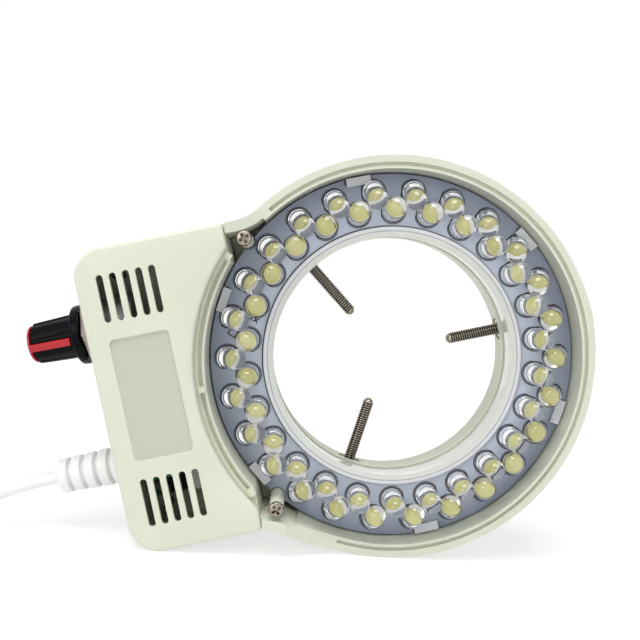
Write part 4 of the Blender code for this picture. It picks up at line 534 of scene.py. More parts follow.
def hank_place(loops):
    """Where the cord is after so many loops, counted from the middle of the front run."""
    radius, height = hank_radius_and_height(loops)
    half_loops = 2 * loops + run_share / 2
    half = floor(half_loops)
    walked = half_loops - half
    if walked < run_share:
        along = 1 / 2 - walked / run_share
        x = along * HANK_RUN
        y = HANK_WAIST_DRAW * cos(pi * along) ** 2 - radius
    else:
        angle = -pi / 2 - pi * (walked - run_share) / (1 - run_share)
        x = radius * cos(angle) - HANK_RUN / 2
        y = radius * sin(angle)
    side = 1 if half % 2 == 0 else -1
    return hank_centre + Vector((side * x, side * y, height))


def hank_points():
    """The hank's centre line, with a straight end of one diameter each side."""
    first = -(run_share + HANK_START_TURN / pi * (1 - run_share) * 2) / 4
    last = loop_count + run_share / 4
    count = round((last - first) * POINTS_PER_LOOP)
    points = [hank_place(first + (last - first) * i / count) for i in range(count + 1)]
    arriving = Vector((cos(HANK_START_TURN), sin(HANK_START_TURN), 0.0))
    leaving = Vector((-1.0, 0.0, 0.0))
    return [points[0] + arriving * CORD_DIAMETER] + points + [points[-1] + leaving * CORD_DIAMETER]


def smooth_route(route):
    """Points at even steps along one smooth curve through a route's points."""
    route = np.array([tuple(p) for p in route], dtype=float)
    padded = np.vstack([2 * route[0] - route[1], route, 2 * route[-1] - route[-2]])
    fine = []
    for before, start, end, after in zip(padded, padded[1:], padded[2:], padded[3:]):
        for t in np.linspace(0.0, 1.0, POINTS_PER_SPAN, endpoint=False):
            fine.append(
                (2 * start + (end - before) * t + (2 * before - 5 * start + 4 * end - after) * t**2
                 + (3 * start - before - 3 * end + after) * t**3) / 2
            )
    fine = np.array(fine + [route[-1]])
    walked = np.concatenate([[0.0], np.cumsum(np.linalg.norm(np.diff(fine, axis=0), axis=1))])
    steps = np.linspace(0.0, walked[-1], POINTS_PER_ROUTE)
    return [Vector([np.interp(step, walked, fine[:, axis]) for axis in range(3)]) for step in steps]


hank = hank_points()
hank_top = hank_centre.z + (HANK_LAYERS - 1) * HANK_LAYER_PITCH + cord_radius
plug_start = hank_centre + Vector(PLUG_PLACE)
plug_start.z = hank_top + SEAT_GAP + TIE_THICKNESS + SEAT_GAP + PLUG_HEIGHT / 2
free = smooth_route([exit_point, *CORD_ROUTE, hank[0]])
tail = smooth_route([hank[-1], *TAIL_ROUTE, plug_start])
cord_line = free + hank[1:] + tail[1:]

cord_curve = bpy.data.curves.new("mains_cord", "CURVE")
cord_curve.dimensions = "3D"
cord_curve.bevel_depth = cord_radius
cord_curve.bevel_resolution = 5
cord_curve.use_fill_caps = True
add_line(cord_curve, cord_line).use_smooth = True
cord_curve.materials.append(white_pvc)
mains_cord = new_object("mains_cord", cord_curve)
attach(mains_cord, "ring_light")
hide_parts("power_cord", "cord_hank", "cord_tail")

# %% Tie and plug
tie_sides = (
    hank_place(loop_count).y - cord_radius, hank_place(loop_count - 0.5).y + cord_radius,
    hank_centre.z - cord_radius, hank_top,
)


def tie_outline(reach, corner):
    front, back, bottom, top = tie_sides
    return rounded_rectangle(front - reach, back + reach, bottom - reach, top + reach, corner)


tie = prism(
    "hank_tie_fine",
    [tie_outline(SEAT_GAP + TIE_THICKNESS, TIE_CORNER + TIE_THICKNESS), tie_outline(SEAT_GAP, TIE_CORNER)],
    -TIE_WIDTH / 2, TIE_WIDTH / 2, black_plastic,
)
bevel(tie, 0.15 * MM)
tie_place = moved((hank_centre.x, 0.0, 0.0)) @ turned("Z") @ turned("X")
dress(tie, "black_plastic", "hank_tie", place=tie_place, stand=False)

PLUG_WIDTH = 20.0 * MM
PLUG_LENGTH = 20.0 * MM
PLUG_TAIL = 9.0 * MM
PLUG_END = PLUG_TAIL + PLUG_LENGTH
PIN_OFFSET = 6.35 * MM
PIN_WIDTH = 6.3 * MM
PIN_THICKNESS = 1.5 * MM
PIN_LENGTH = 17.7 * MM
PIN_SUNK = 1.7 * MM
PIN_CORNER = 1.2 * MM
PIN_HOLE_RADIUS = 1.6 * MM
PIN_HOLE_CENTRE = (0.0, 13.4 * MM)
SOCKET_SIZE = (2.1 * MM, 4.0 * MM, 6.9 * MM)
plug_bm = bmesh.new()
add_block(plug_bm, (PLUG_WIDTH, PLUG_LENGTH, PLUG_HEIGHT), (0.0, PLUG_TAIL + PLUG_LENGTH / 2, 0.0))
plug = object_from(plug_bm, "plug_body_fine", white_pvc)
bevel(plug, 2.0 * MM, 5)
tail_profile = in_mm((0.0, 3.0), (3.6, 3.0), (3.6, 0.0), above=PLUG_TAIL)
for i in range(3):
    radius = 3.5 - 0.3 * i
    tail_profile += in_mm(
        (radius, 0.0), (radius - 0.5, -0.1), (radius - 0.5, -0.9), (radius - 0.1, -1.0),
        above=PLUG_TAIL - (1.2 + 2.4 * i) * MM,
    )
tail_profile += in_mm((2.6, 0.2), (2.3, 0.0), (0.0, 0.0))
plug_tail = lathe("plug_tail", soften(tail_profile, 0.15 * MM), 40, white_pvc)
plug_tail.data.transform(turned("X", -QUARTER))
combine(plug, plug_tail, "UNION")
sockets = bmesh.new()
for side in (-1.0, 1.0):
    add_block(sockets, SOCKET_SIZE, (side * PIN_OFFSET, PLUG_END, 0.0))
combine(plug, object_from(sockets, "sockets"))
plug_place = moved(plug_start) @ turned("Z", -QUARTER)
dress(plug, "white_plastic", "plug_body", place=plug_place, stand=False)
for i, side in enumerate((-1.0, 1.0)):
    outline = rounded_rectangle(-PIN_WIDTH / 2, PIN_WIDTH / 2, 0.0, PIN_LENGTH, PIN_CORNER)
    hole = circle(PIN_HOLE_RADIUS, PIN_HOLE_CENTRE, 32)
    pin = prism(f"plug_pin_{i + 1}_fine", [outline, hole], -PIN_THICKNESS / 2, PIN_THICKNESS / 2, brass)
    bevel(pin, 0.12 * MM)
    pin_place = moved((side * PIN_OFFSET, PLUG_END - PIN_SUNK, 0.0))
    place = plug_place @ pin_place @ turned("Y")
    dress(pin, "brass", f"plug_pin_{i + 1}", place=place, stand=False)

# %% [markdown]
# ## Housing
#
# The ring, its two necks and the box are one moulding. A slanting cut brings the ring's rim up to the
# lid through the necks, and a fine groove runs round the rim.

# %% Housing
RIM_FRONT = 6.2 * MM
HOUSING_BACK = 9.5 * MM
FLOOR_TOP = -7.3 * MM
TROUGH_RADIUS = 44.7 * MM
BOX_TOP = 38.7 * MM
BOX_BOTTOM = 32.0 * MM
BOX_CORNER = 7.0 * MM
BOX_WALL = 2.0 * MM
PARTITION_RADIUS = 49.5 * MM
LID_FRONT = 12.0 * MM
LID_UNDER = 10.0 * MM
LID_ARC = 46.9 * MM
LID_UPPER_END = 33.217 * MM
LID_LOWER_END = 38.474 * MM
NECK_FILLET = 12.0 * MM
NECK_WALL = 2.4 * MM
RAMP_END = 24.0 * MM
POSTS = in_mm((-29.06, 34.36), (-34.34, -27.98))
POST_RADIUS = 1.7 * MM
POST_TOP = 10.6 * MM
POST_HOLE_RADIUS = 1.1 * MM
POST_HOLE_DEPTH = 7.3 * MM
LEDGE_RADIUS = LID_ARC - 0.2 * MM
LEDGE_FRONT = 9.0 * MM
LID_POSTS = in_mm((-61.8, -26.0), (-43.0, 32.7), (-61.8, 32.7))
LID_HOLE_RADIUS = 2.5 * MM
LID_HOLE_DEPTH = 1.2 * MM
SIDE_HOLES = ((KNOB_Y, 4.3 * MM), (RELIEF_Y, 3.4 * MM))
GROOVE_RADII = (45.3 * MM, 46.2 * MM)
GROOVE_DEPTH = 1.0 * MM
GROOVES = ((-119.0, 119.0, RIM_FRONT), (138.5, 209.5, LEDGE_FRONT))
RIDGE_ANGLES = (137.0, 177.0, 211.0)
RIDGE_WIDTH = 1.4 * MM
RIDGE_HEIGHT = 0.9 * MM
BORE_HOLE_RADIUS = 29.4 * MM
WIRE_SLOT_WIDTH = 5.0 * MM
WIRE_SLOT_HEIGHT = 3.6 * MM
WIRE_SLOT_Z = -3.4 * MM
WIRE_SLOT_ANGLE = radians(203.6)
HOUSING_EDGE = 0.7 * MM
RIM_ROUNDING = 3.0 * MM
EDGE_ANGLE = 40.0
POCKET_END = 0.9
CORNER_STEP = radians(5.0)
HIGH = LID_FRONT + OVERRUN
corner_x = BOX_LEFT - BOX_CORNER


def fillet_centre(height, side):
    """The middle of the fillet between the ring and an edge of the box."""
    y = height + NECK_FILLET
    return Vector((-sqrt((RING_RADIUS + NECK_FILLET) ** 2 - y**2), side * y))


upper_fillet = fillet_centre(BOX_TOP, 1.0)
lower_fillet = fillet_centre(BOX_BOTTOM, -1.0)


def box_corners(radius):
    upper = arc((-corner_x, BOX_TOP - BOX_CORNER), radius, QUARTER, 2 * QUARTER, CORNER_STEP)
    lower = arc((-corner_x, BOX_CORNER - BOX_BOTTOM), radius, 2 * QUARTER, 3 * QUARTER, CORNER_STEP)
    return upper + lower


def housing_outline():
    upper = atan2(upper_fillet.y, upper_fillet.x)
    lower = atan2(lower_fillet.y, lower_fillet.x)
    ring = arc((0.0, 0.0), RING_RADIUS, lower, upper)
    upper_neck = arc(upper_fillet, NECK_FILLET, upper + pi, 3 * QUARTER, CORNER_STEP)
    lower_neck = arc(lower_fillet, NECK_FILLET, QUARTER, lower + pi, CORNER_STEP)
    return ring + upper_neck[1:] + box_corners(BOX_CORNER) + lower_neck[:-1]


def box_outline(inset, arc_radius, upper_end, lower_end):
    lower_angle = tau - acos(-lower_end / arc_radius)
    upper_angle = acos(-upper_end / arc_radius)
    right = arc((0.0, 0.0), arc_radius, lower_angle, upper_angle)
    top, bottom = BOX_TOP - inset, -BOX_BOTTOM + inset
    return [(-upper_end, top)] + box_corners(BOX_CORNER - inset) + [(-lower_end, bottom)] + right


def pocket_outline(partition_x, fillet, side):
    """A corner pocket between the box's end wall and a neck, which opens into the trough."""
    inner = NECK_FILLET + NECK_WALL
    across = max(partition_x, fillet.x)
    start = -side * acos((across - fillet.x) / inner)
    curve = arc(fillet, inner, start, atan2(-fillet.y, -fillet.x), CORNER_STEP)
    inside = sqrt(TROUGH_RADIUS**2 - partition_x**2) - OVERRUN
    end = Vector(curve[-1]) * POCKET_END
    return [(partition_x, side * inside), (partition_x, curve[0][1])] + curve + [tuple(end)]


housing = prism("housing", [housing_outline()], -HOUSING_BACK, LID_FRONT, ivory_abs)
bevel(housing, HOUSING_EDGE, 3, EDGE_ANGLE)
cut(housing, [circle(TROUGH_RADIUS)], FLOOR_TOP, HIGH)
for end, fillet, side in ((LID_UPPER_END, upper_fillet, 1.0), (LID_LOWER_END, lower_fillet, -1.0)):
    cut(housing, [pocket_outline(-end, fillet, side)], FLOOR_TOP, HIGH)
tub = box_outline(BOX_WALL, PARTITION_RADIUS, LID_UPPER_END + BOX_WALL, LID_LOWER_END + BOX_WALL)
cut(housing, [tub], FLOOR_TOP, HIGH)
upper_x, lower_x = -LID_UPPER_END + SEAT_GAP, -LID_LOWER_END + SEAT_GAP
upper_y = sqrt(LEDGE_RADIUS**2 - LID_UPPER_END**2)
lower_y = -sqrt(LEDGE_RADIUS**2 - LID_LOWER_END**2)
left = -BOX_LEFT - OVERRUN
lid_seat = [
    (upper_x, BOX_TOP + OVERRUN), (left, BOX_TOP + OVERRUN), (left, -BOX_BOTTOM - OVERRUN),
    (lower_x, -BOX_BOTTOM - OVERRUN), (lower_x, lower_y), (upper_x, upper_y),
]
cut(housing, [lid_seat], LID_UNDER - SEAT_GAP, HIGH)
ledge = arc(
    (0.0, 0.0), LEDGE_RADIUS, atan2(upper_y, -LID_UPPER_END),
    tau + atan2(lower_y, -LID_LOWER_END),
)
cut(housing, [ledge + [(-RAMP_END, lower_y), (-RAMP_END, upper_y)]], LEDGE_FRONT, HIGH)
reach = RING_RADIUS + OVERRUN
rim_profile = [
    (-RAMP_END, RIM_FRONT), (reach, RIM_FRONT), (reach, HIGH), (-LID_UPPER_END, HIGH),
    (-LID_UPPER_END, LID_FRONT),
]
rim = prism("rim", [soften(rim_profile, RIM_ROUNDING, ring=True, steps=6)], -reach, reach)
rim.data.transform(turned("X"))
combine(housing, rim)
for start, end, front in GROOVES:
    start, end = radians(start), radians(end)
    inner, outer = GROOVE_RADII
    groove = arc((0.0, 0.0), outer, start, end) + arc((0.0, 0.0), inner, end, start)
    cut(housing, [groove], front - GROOVE_DEPTH, HIGH)

moulded = bmesh.new()
for x, y in POSTS:
    add_rod(moulded, POST_RADIUS, (x, y, FLOOR_TOP - OVERRUN), (x, y, POST_TOP))
depth = LEDGE_RADIUS - TROUGH_RADIUS - SEAT_GAP
ridge_size = (depth, RIDGE_WIDTH, RIDGE_HEIGHT + OVERRUN)
ridge_place = (TROUGH_RADIUS + SEAT_GAP + depth / 2, 0.0, LEDGE_FRONT + (RIDGE_HEIGHT - OVERRUN) / 2)
for angle in RIDGE_ANGLES:
    add_block(moulded, ridge_size, ridge_place, radians(angle))
combine(housing, object_from(moulded, "moulded"), "UNION")

holes = bmesh.new()
below = -HOUSING_BACK - OVERRUN
add_rod(holes, BORE_HOLE_RADIUS, (0.0, 0.0, below), (0.0, 0.0, FLOOR_TOP + OVERRUN), 160)
for x, y in POSTS:
    add_rod(holes, POST_HOLE_RADIUS, (x, y, POST_TOP - POST_HOLE_DEPTH), (x, y, HIGH))
for x, y in LID_POSTS:
    add_rod(holes, LID_HOLE_RADIUS, (x, y, below), (x, y, -HOUSING_BACK + LID_HOLE_DEPTH))
inside = BOX_WALL + OVERRUN - BOX_LEFT
for y, radius in SIDE_HOLES:
    add_rod(holes, radius, (left, y, SIDE_AXIS_Z), (inside, y, SIDE_AXIS_Z), 48)
wire_depth = PARTITION_RADIUS - TROUGH_RADIUS
slot_size = (wire_depth + 2 * OVERRUN, WIRE_SLOT_WIDTH, WIRE_SLOT_HEIGHT)
add_block(holes, slot_size, (TROUGH_RADIUS + wire_depth / 2, 0.0, WIRE_SLOT_Z), WIRE_SLOT_ANGLE)
combine(housing, object_from(holes, "holes"))
dress(housing, "ivory_abs", "back_shell")
print("housing faces:", len(housing.data.polygons))

# %% [markdown]
# ## Lid
#
# The lid closes the box. It carries two groups of five vent slots and the sunk place for a label, which
# stays bare here.

# %% Lid
VENT_X = -62.6 * MM
VENT_COUNT = 5
VENT_PITCH = 2.98 * MM
VENT_WIDTH = 1.6 * MM
VENT_GROUPS = ((22.5 * MM, 31.8 * MM), (-25.1 * MM, -15.5 * MM))
THIN_ACROSS = 1.8 * MM
THIN_ALONG = 2.0 * MM
THIN_DEPTH = 0.8 * MM
THIN_CORNER = 1.0 * MM
LABEL_DEPTH = 0.5 * MM
LABEL_CORNER = 1.2 * MM
LABEL_FLOOR = 0.03 * MM
LID_EDGE = 0.8 * MM


def label_outline(inset):
    left, right, bottom, top = -63.5 * MM, -49.8 * MM, -10.7 * MM, 17.8 * MM
    return rounded_rectangle(left + inset, right - inset, bottom + inset, top - inset, LABEL_CORNER - inset)


lid_outline = box_outline(0.0, LID_ARC, LID_UPPER_END, LID_LOWER_END)
lid = prism("lid", [lid_outline], LID_UNDER, LID_FRONT, ivory_abs)
bevel(lid, LID_EDGE, 4, EDGE_ANGLE)
vents = [
    slot_outline(VENT_X + i * VENT_PITCH, bottom, top, VENT_WIDTH)
    for i in range(VENT_COUNT)
    for bottom, top in VENT_GROUPS
]
cut(lid, vents, LID_UNDER - OVERRUN, HIGH)
left, right = VENT_X - THIN_ACROSS, VENT_X + (VENT_COUNT - 1) * VENT_PITCH + THIN_ACROSS
for bottom, top in VENT_GROUPS:
    thin = rounded_rectangle(left, right, bottom - THIN_ALONG, top + THIN_ALONG, THIN_CORNER)
    cut(lid, [thin], LID_UNDER - OVERRUN, LID_FRONT - THIN_DEPTH)
label_base = LID_FRONT - LABEL_DEPTH
cut(lid, [label_outline(0.0)], label_base, HIGH)
dress(lid, "ivory_abs", "box_lid")
label_top = label_base + LABEL_FLOOR
label_floor = prism("label_floor", [label_outline(SEAT_GAP)], label_base, label_top, ivory_matt)
dress(label_floor, "ivory_abs", "box_lid")

# %% [markdown]
# ## Clear sleeve
#
# The sleeve is the wall of the bore. Its plate lies under the board, and six hooks hold the board down.

# %% Sleeve
SLEEVE_PROFILE = in_mm(
    (31.6, 1.0), (31.6, -1.9), (33.2, -1.9), (33.2, -5.8), (44.3, -5.8), (44.3, -7.0), (29.6, -7.0),
    (29.0, 1.0),
)
HOOK_PROFILE = in_mm(
    (44.2, -6.4), (44.2, 1.2), (43.1, 1.2), (42.2, 0.75), (42.2, 0.3), (43.1, 0.3), (43.1, -6.4)
)
HOOK_WIDTH = 6.0 * MM
HOOK_ANGLES = [radians(30.0 + 60.0 * k) for k in range(6)]
sleeve = lathe("clear_sleeve", soften(SLEEVE_PROFILE, 0.25 * MM, ring=True), 160, clear_plastic, ring=True)
hooks = []
for angle in HOOK_ANGLES:
    hook = prism("hook", [HOOK_PROFILE], -HOOK_WIDTH / 2, HOOK_WIDTH / 2)
    hook.data.transform(turned("Z", angle) @ turned("X"))
    hooks.append(hook)
combine(sleeve, merge("hooks", hooks), "UNION")
dress(sleeve, "clear_plastic", "clear_carrier")

# %% [markdown]
# ## Rings of copies
#
# One node group puts copies of a small template on a circle, each leaning towards the ring's axis. It
# serves the lenses, the phosphor, the leads and the printed circles of both rows of LEDs.

# %% Node group
RING_INPUTS = {
    "Template": "Object", "Material": "Material", "Count": "Int", "Radius": "Float", "Height": "Float",
    "First Angle": "Float", "Lean": "Float", "Unevenness": "Float", "Seed": "Int",
}


def ring_group():
    group = bpy.data.node_groups.new("ring_of_copies", "GeometryNodeTree")
    sockets = {}
    for name, kind in RING_INPUTS.items():
        socket = group.interface.new_socket(name, in_out="INPUT", socket_type="NodeSocket" + kind)
        sockets[name] = socket.identifier
    group.interface.new_socket("Geometry", in_out="OUTPUT", socket_type="NodeSocketGeometry")
    given = add(group, "NodeGroupInput").outputs

    def flow(kind, inputs=None, **settings):
        return add(group, kind, inputs, **settings).outputs[0]

    step = maths(group, "DIVIDE", tau, given["Count"])
    walked = maths(group, "MULTIPLY", flow("GeometryNodeInputIndex"), step)
    angle = maths(group, "ADD", walked, given["First Angle"])
    x, y = (
        maths(group, "MULTIPLY", maths(group, kind, angle), given["Radius"]) for kind in ("COSINE", "SINE")
    )
    place = flow("ShaderNodeCombineXYZ", {"X": x, "Y": y, "Z": given["Height"]})
    points = flow("GeometryNodePoints", {"Count": given["Count"], "Position": place})
    wobble = add(group, "FunctionNodeRandomValue", data_type="FLOAT_VECTOR")
    most = given["Unevenness"]
    for name, limit in (("Min", maths(group, "MULTIPLY", most, -1.0)), ("Max", most)):
        group.links.new(flow("ShaderNodeCombineXYZ", {"X": limit, "Y": limit}), wobble.inputs[name])
    group.links.new(given["Seed"], wobble.inputs["Seed"])
    aim = flow("ShaderNodeCombineXYZ", {"Y": maths(group, "MULTIPLY", given["Lean"], -1.0), "Z": angle})
    uneven = flow("ShaderNodeVectorMath", {0: aim, 1: wobble.outputs["Value"]}, operation="ADD")
    rotation = flow("FunctionNodeEulerToRotation", {"Euler": uneven})
    template = add(group, "GeometryNodeObjectInfo", {"Object": given["Template"]}).outputs["Geometry"]
    placed = {"Points": points, "Instance": template, "Rotation": rotation}
    real = flow("GeometryNodeRealizeInstances", {"Geometry": flow("GeometryNodeInstanceOnPoints", placed)})
    painted = flow("GeometryNodeSetMaterial", {"Geometry": real, "Material": given["Material"]})
    add(group, "NodeGroupOutput", {"Geometry": painted})
    return group, sockets


RING_GROUP, RING_SOCKETS = ring_group()


def ring_of(*values):
    """A plain mesh object with copies of a template round the ring, from values for RING_INPUTS."""
    host = new_object("ring_host", bpy.data.meshes.new("ring_host"))
    modifier = host.modifiers.new("Ring", "NODES")
    modifier.node_group = RING_GROUP
    for socket, value in zip(RING_SOCKETS.values(), values):
        modifier[socket] = value
    mesh = evaluated(host)
    bpy.data.objects.remove(host)
    return new_object("ring", mesh)


# %% [markdown]
# ## LEDs
#
# Each LED is a clear epoxy bullet with a flange. Inside it stands a lead frame, and one post carries a
# small cup of yellow phosphor. The dome magnifies it, so an LED seen end on looks yellow all over.

# %% LED templates
LED_HEIGHT = 8.6 * MM
LED_RADIUS = 2.42 * MM
STANDOFF = 1.2 * MM
CUP_Z = 4.4 * MM
LEAD_BLOCKS = (
    ((0.45, 1.7, 1.6), (0.0, 0.2, 2.6)),
    ((0.45, 0.5, 6.2), (0.0, 1.27, -0.1)),
    ((0.45, 0.5, 5.6), (0.0, -1.27, 1.4)),
    ((0.45, 0.9, 0.8), (0.0, -1.1, 3.4)),
)

dome = arc((0.0, LED_HEIGHT - LED_RADIUS), LED_RADIUS, radians(80.0), 0.0, radians(10.0))
flange = in_mm((2.52, 1.0), (2.6, 1.0), (2.65, 0.92), (2.65, 0.08), (2.6, 0.0), (0.0, 0.0))
lens_profile = [(0.0, LED_HEIGHT), *dome, (LED_RADIUS, 1.1 * MM), *flange]
phosphor_profile = in_mm((0.0, 0.16), (0.45, 0.1), (0.74, 0.0), (0.74, -0.1), (0.0, -0.1), above=CUP_Z)
leads = bmesh.new()
cup_foot, cup_top = in_mm((0.0, 0.0, -1.0), (0.0, 0.0, -0.12), above=CUP_Z)
add_rod(leads, 0.6 * MM, cup_foot, cup_top, 20, 1.0 * MM)
for block in LEAD_BLOCKS:
    add_block(leads, *in_mm(*block))
LED_PIECES = (
    ("led_lenses", lathe("lens_template", lens_profile, 36, lens_epoxy), lens_epoxy),
    ("led_phosphor", lathe("phosphor_template", phosphor_profile, 24, phosphor), phosphor),
    ("led_leads", object_from(leads, "lead_template", lead_metal), lead_metal),
)


def printed_circle(radius, width, flat):
    """A thin printed circle with a flat on its far side."""
    outlines = []
    for reach in (radius + width / 2, radius - width / 2):
        limit = flat * reach
        outlines.append([(x, min(y, limit)) for x, y in circle(reach, segments=48)])
    return prism("printed_circle", outlines, 0.0, PRINT_HEIGHT)


PRINT_HEIGHT = 0.02 * MM
print_template = merge(
    "print_template", [printed_circle(2.8 * MM, 0.28 * MM, 1.0), printed_circle(3.14 * MM, 0.2 * MM, 0.9)]
)

# %% LEDs on their board
LEDS_PER_ROW = 26
FIRST_LED = radians(-11.3)
UNEVENNESS = radians(1.6)
ROWS = (
    (40.2 * MM, FIRST_LED, radians(25.0)),
    (35.4 * MM, FIRST_LED + pi / LEDS_PER_ROW, 0.0),
)
BOARD_RADIUS = 44.3 * MM
BOARD_BORE = 31.9 * MM
BOARD_THICKNESS = 1.6 * MM
NOTCH_BLOCK = ((2.4, 6.6, 4.0), (44.0, 0.0, -0.8))
MARKS = (
    ((1.7, 0.3, 0.02), (-30.9, 15.3, 0.03)),
    ((0.3, 1.7, 0.02), (-30.9, 15.3, 0.03)),
    ((1.7, 0.3, 0.02), (-38.6, 15.6, 0.03)),
)
PAD_MARKS = in_mm((-36.9, 13.5), (-31.9, 17.1))

for name, template, material in LED_PIECES:
    rings = [
        ring_of(template, material, LEDS_PER_ROW, radius, STANDOFF, first, lean, UNEVENNESS, 7 + row)
        for row, (radius, first, lean) in enumerate(ROWS)
    ]
    made = merge(name, rings, material)
    dress(made, "led_board", "led_board")
    bpy.data.objects.remove(template)
    print(name, "faces:", len(made.data.polygons))

board_outlines = [circle(BOARD_RADIUS, segments=240), circle(BOARD_BORE)]
board = prism("board", board_outlines, -BOARD_THICKNESS, 0.0, board_mask)
notches = bmesh.new()
for angle in HOOK_ANGLES:
    add_block(notches, *in_mm(*NOTCH_BLOCK), angle)
for x, y in POSTS:
    add_rod(notches, POST_RADIUS + SEAT_GAP, (x, y, -3.0 * MM), (x, y, 2.0 * MM))
combine(board, object_from(notches, "notches"))
dress(board, "led_board", "led_board")

prints = [
    ring_of(print_template, print_ink, LEDS_PER_ROW, radius, PRINT_HEIGHT, first, 0.0, 0.0, 1)
    for radius, first, lean in ROWS
]
bpy.data.objects.remove(print_template)
marks = bmesh.new()
for mark in MARKS:
    add_block(marks, *in_mm(*mark))
prints.append(object_from(marks, "marks", print_ink))
for centre in PAD_MARKS:
    square = [circle(reach, centre, 4) for reach in (1.5 * MM, 1.1 * MM)]
    prints.append(prism("pad_mark", square, PRINT_HEIGHT, 2 * PRINT_HEIGHT))
dress(merge("silkscreen", prints, print_ink), "led_board", "led_board")

# %% [markdown]
# ## Screws
#
# Every screw is lathed with its thread's grooves, and a cross is cut into its head.

# %% Screws
CORNER_SCREW, LID_SCREW, COLLAR_SCREW = in_mm(
    (1.8, 1.1, 0.8, 7.0), (2.2, 0.9, 1.0, 9.8), (1.7, 1.1, 0.8, 7.2)
)
SCREW_PITCH = 0.6 * MM
CROSS_LONG = 0.66
CROSS_SHORT = 0.17
CROSS_DEPTH = 0.8 * MM
COLLAR_BACK = 17.0 * MM
COLLAR_SCREW_CIRCLE = 32.5 * MM
collar_seat = COLLAR_BACK - COLLAR_SCREW[1] - SEAT_GAP
collar_screw_places = [
    (COLLAR_SCREW_CIRCLE * cos(angle), COLLAR_SCREW_CIRCLE * sin(angle))
    for angle in (radians(60.0 + 120.0 * i) for i in range(3))
]
upside_down = turned("X", pi)


def phillips_screw(name, sizes, place):
    """A pan head screw, its head's underside at zero and its shank below it."""
    head_radius, head_height, shank_radius, shank_length = sizes
    profile = [
        (0.0, head_height), (head_radius * 0.55, head_height * 0.97), (head_radius * 0.85, head_height * 0.8),
        (head_radius, head_height * 0.35), (head_radius, 0.0), (shank_radius, 0.0),
    ]
    for i in range(int((shank_length - shank_radius) / SCREW_PITCH)):
        top = -(i + 0.5) * SCREW_PITCH
        profile += [(shank_radius * 0.8, top), (shank_radius, top - SCREW_PITCH / 2)]
    profile += [(shank_radius * 0.8, shank_radius - shank_length), (0.0, -shank_length)]
    screw = lathe(name + "_fine", soften(profile, 0.05 * MM, steps=2), 32, nickel)
    long, short = CROSS_LONG * head_radius, CROSS_SHORT * head_radius
    cross = [
        (cos(a) * x - sin(a) * y, sin(a) * x + cos(a) * y)
        for a in (radians(20.0 + 90.0 * quarter) for quarter in range(4))
        for x, y in ((long, short), (short, short), (short, long))
    ]
    depth = min(0.9 * head_height, CROSS_DEPTH)
    cut(screw, [cross], head_height - depth, head_height + OVERRUN)
    dress(screw, "plated_steel", name, place=place)


for name, (x, y) in zip(("corner_screw_upper", "corner_screw_lower"), POSTS):
    phillips_screw(name, CORNER_SCREW, moved((x, y, POST_TOP + SEAT_GAP)))
for i, (x, y) in enumerate(LID_POSTS):
    place = moved((x, y, -HOUSING_BACK + LID_SCREW[1])) @ upside_down
    phillips_screw(f"lid_screw_{i + 1}", LID_SCREW, place)
for i, (x, y) in enumerate(collar_screw_places):
    place = moved((x, y, -collar_seat - SEAT_GAP)) @ upside_down
    phillips_screw(f"collar_screw_{i + 1}", COLLAR_SCREW, place)

# %% [markdown]
# ## Collar and thumb screws
#
# The collar behind the ring holds three plated bushes. A thumb screw runs through each one to grip the
# lens tube. Its thread is a real helix, and its head is knurled.

# %% Collar
COLLAR_PROFILE = in_mm((35.0, -9.8), (35.0, -17.0), (30.0, -17.0), (30.0, -9.8))
THUMB_DEPTH = 13.2 * MM
THUMB_HOLE_RADIUS = 2.9 * MM
THUMB_HOLE_ENDS = (29.0 * MM, 36.0 * MM)
SCREW_HOLE_RADIUS = 2.0 * MM
THUMB_ANGLES = [radians(120.0 * i) for i in range(3)]
collar = lathe("collar", soften(COLLAR_PROFILE, 0.5 * MM, ring=True), 160, ivory_abs, ring=True)


def thumb_place(radius, angle):
    """The frame of a piece on a thumb screw's axis: its Z points outwards."""
    place = moved((radius * cos(angle), radius * sin(angle), -THUMB_DEPTH))
    return place @ turned("Z", angle) @ turned("Y")


holes = bmesh.new()
for angle in THUMB_ANGLES:
    inner, outer = (thumb_place(radius, angle).translation for radius in THUMB_HOLE_ENDS)
    add_rod(holes, THUMB_HOLE_RADIUS, inner, outer, 48)
for x, y in collar_screw_places:
    add_rod(holes, SCREW_HOLE_RADIUS, (x, y, -COLLAR_BACK - OVERRUN), (x, y, -collar_seat))
combine(collar, object_from(holes, "holes"))
dress(collar, "ivory_abs", "bore_collar")

# %% Thumb screws
ROD_RADIUS = 1.5 * MM
ROD_LENGTH = 25.5 * MM
THREAD_PITCH = 0.6 * MM
THREAD_DEPTH = 0.3 * MM
CREST_SHARE = 0.4
ROOT_SHARE = 0.75
STEPS_PER_TURN = 8
THREAD_START = 1.2 * MM
THREAD_SPAN = ROD_LENGTH - 1.25 * MM
HEAD_RADIUS = 3.3 * MM
HEAD_LENGTH = 6.0 * MM
KNURLS = 30
KNURL_DEPTH = 0.22 * MM
TURNED_FACE = 0.98
THUMB_TIPS = (16.1 * MM, 13.2 * MM, 13.0 * MM)
BUSH_PROFILE = in_mm((2.6, 4.4), (2.6, 0.0), (1.8, 0.0), (1.8, 4.4))
BUSH_RADIUS = 30.3 * MM


def threaded(radius, height, angle):
    """Cuts a helical thread into the rod and straight knurls into the head."""
    if height < ROD_LENGTH and radius >= ROD_RADIUS * TURNED_FACE:
        phase = (height / THREAD_PITCH - angle / tau) % 1.0
        down = (abs(2.0 * phase - 1.0) - CREST_SHARE) / (ROOT_SHARE - CREST_SHARE)
        return radius - THREAD_DEPTH * min(1.0, max(0.0, down))
    if height > ROD_LENGTH and radius >= HEAD_RADIUS * TURNED_FACE:
        return radius - KNURL_DEPTH * (0.5 + 0.5 * cos(KNURLS * angle))
    return radius


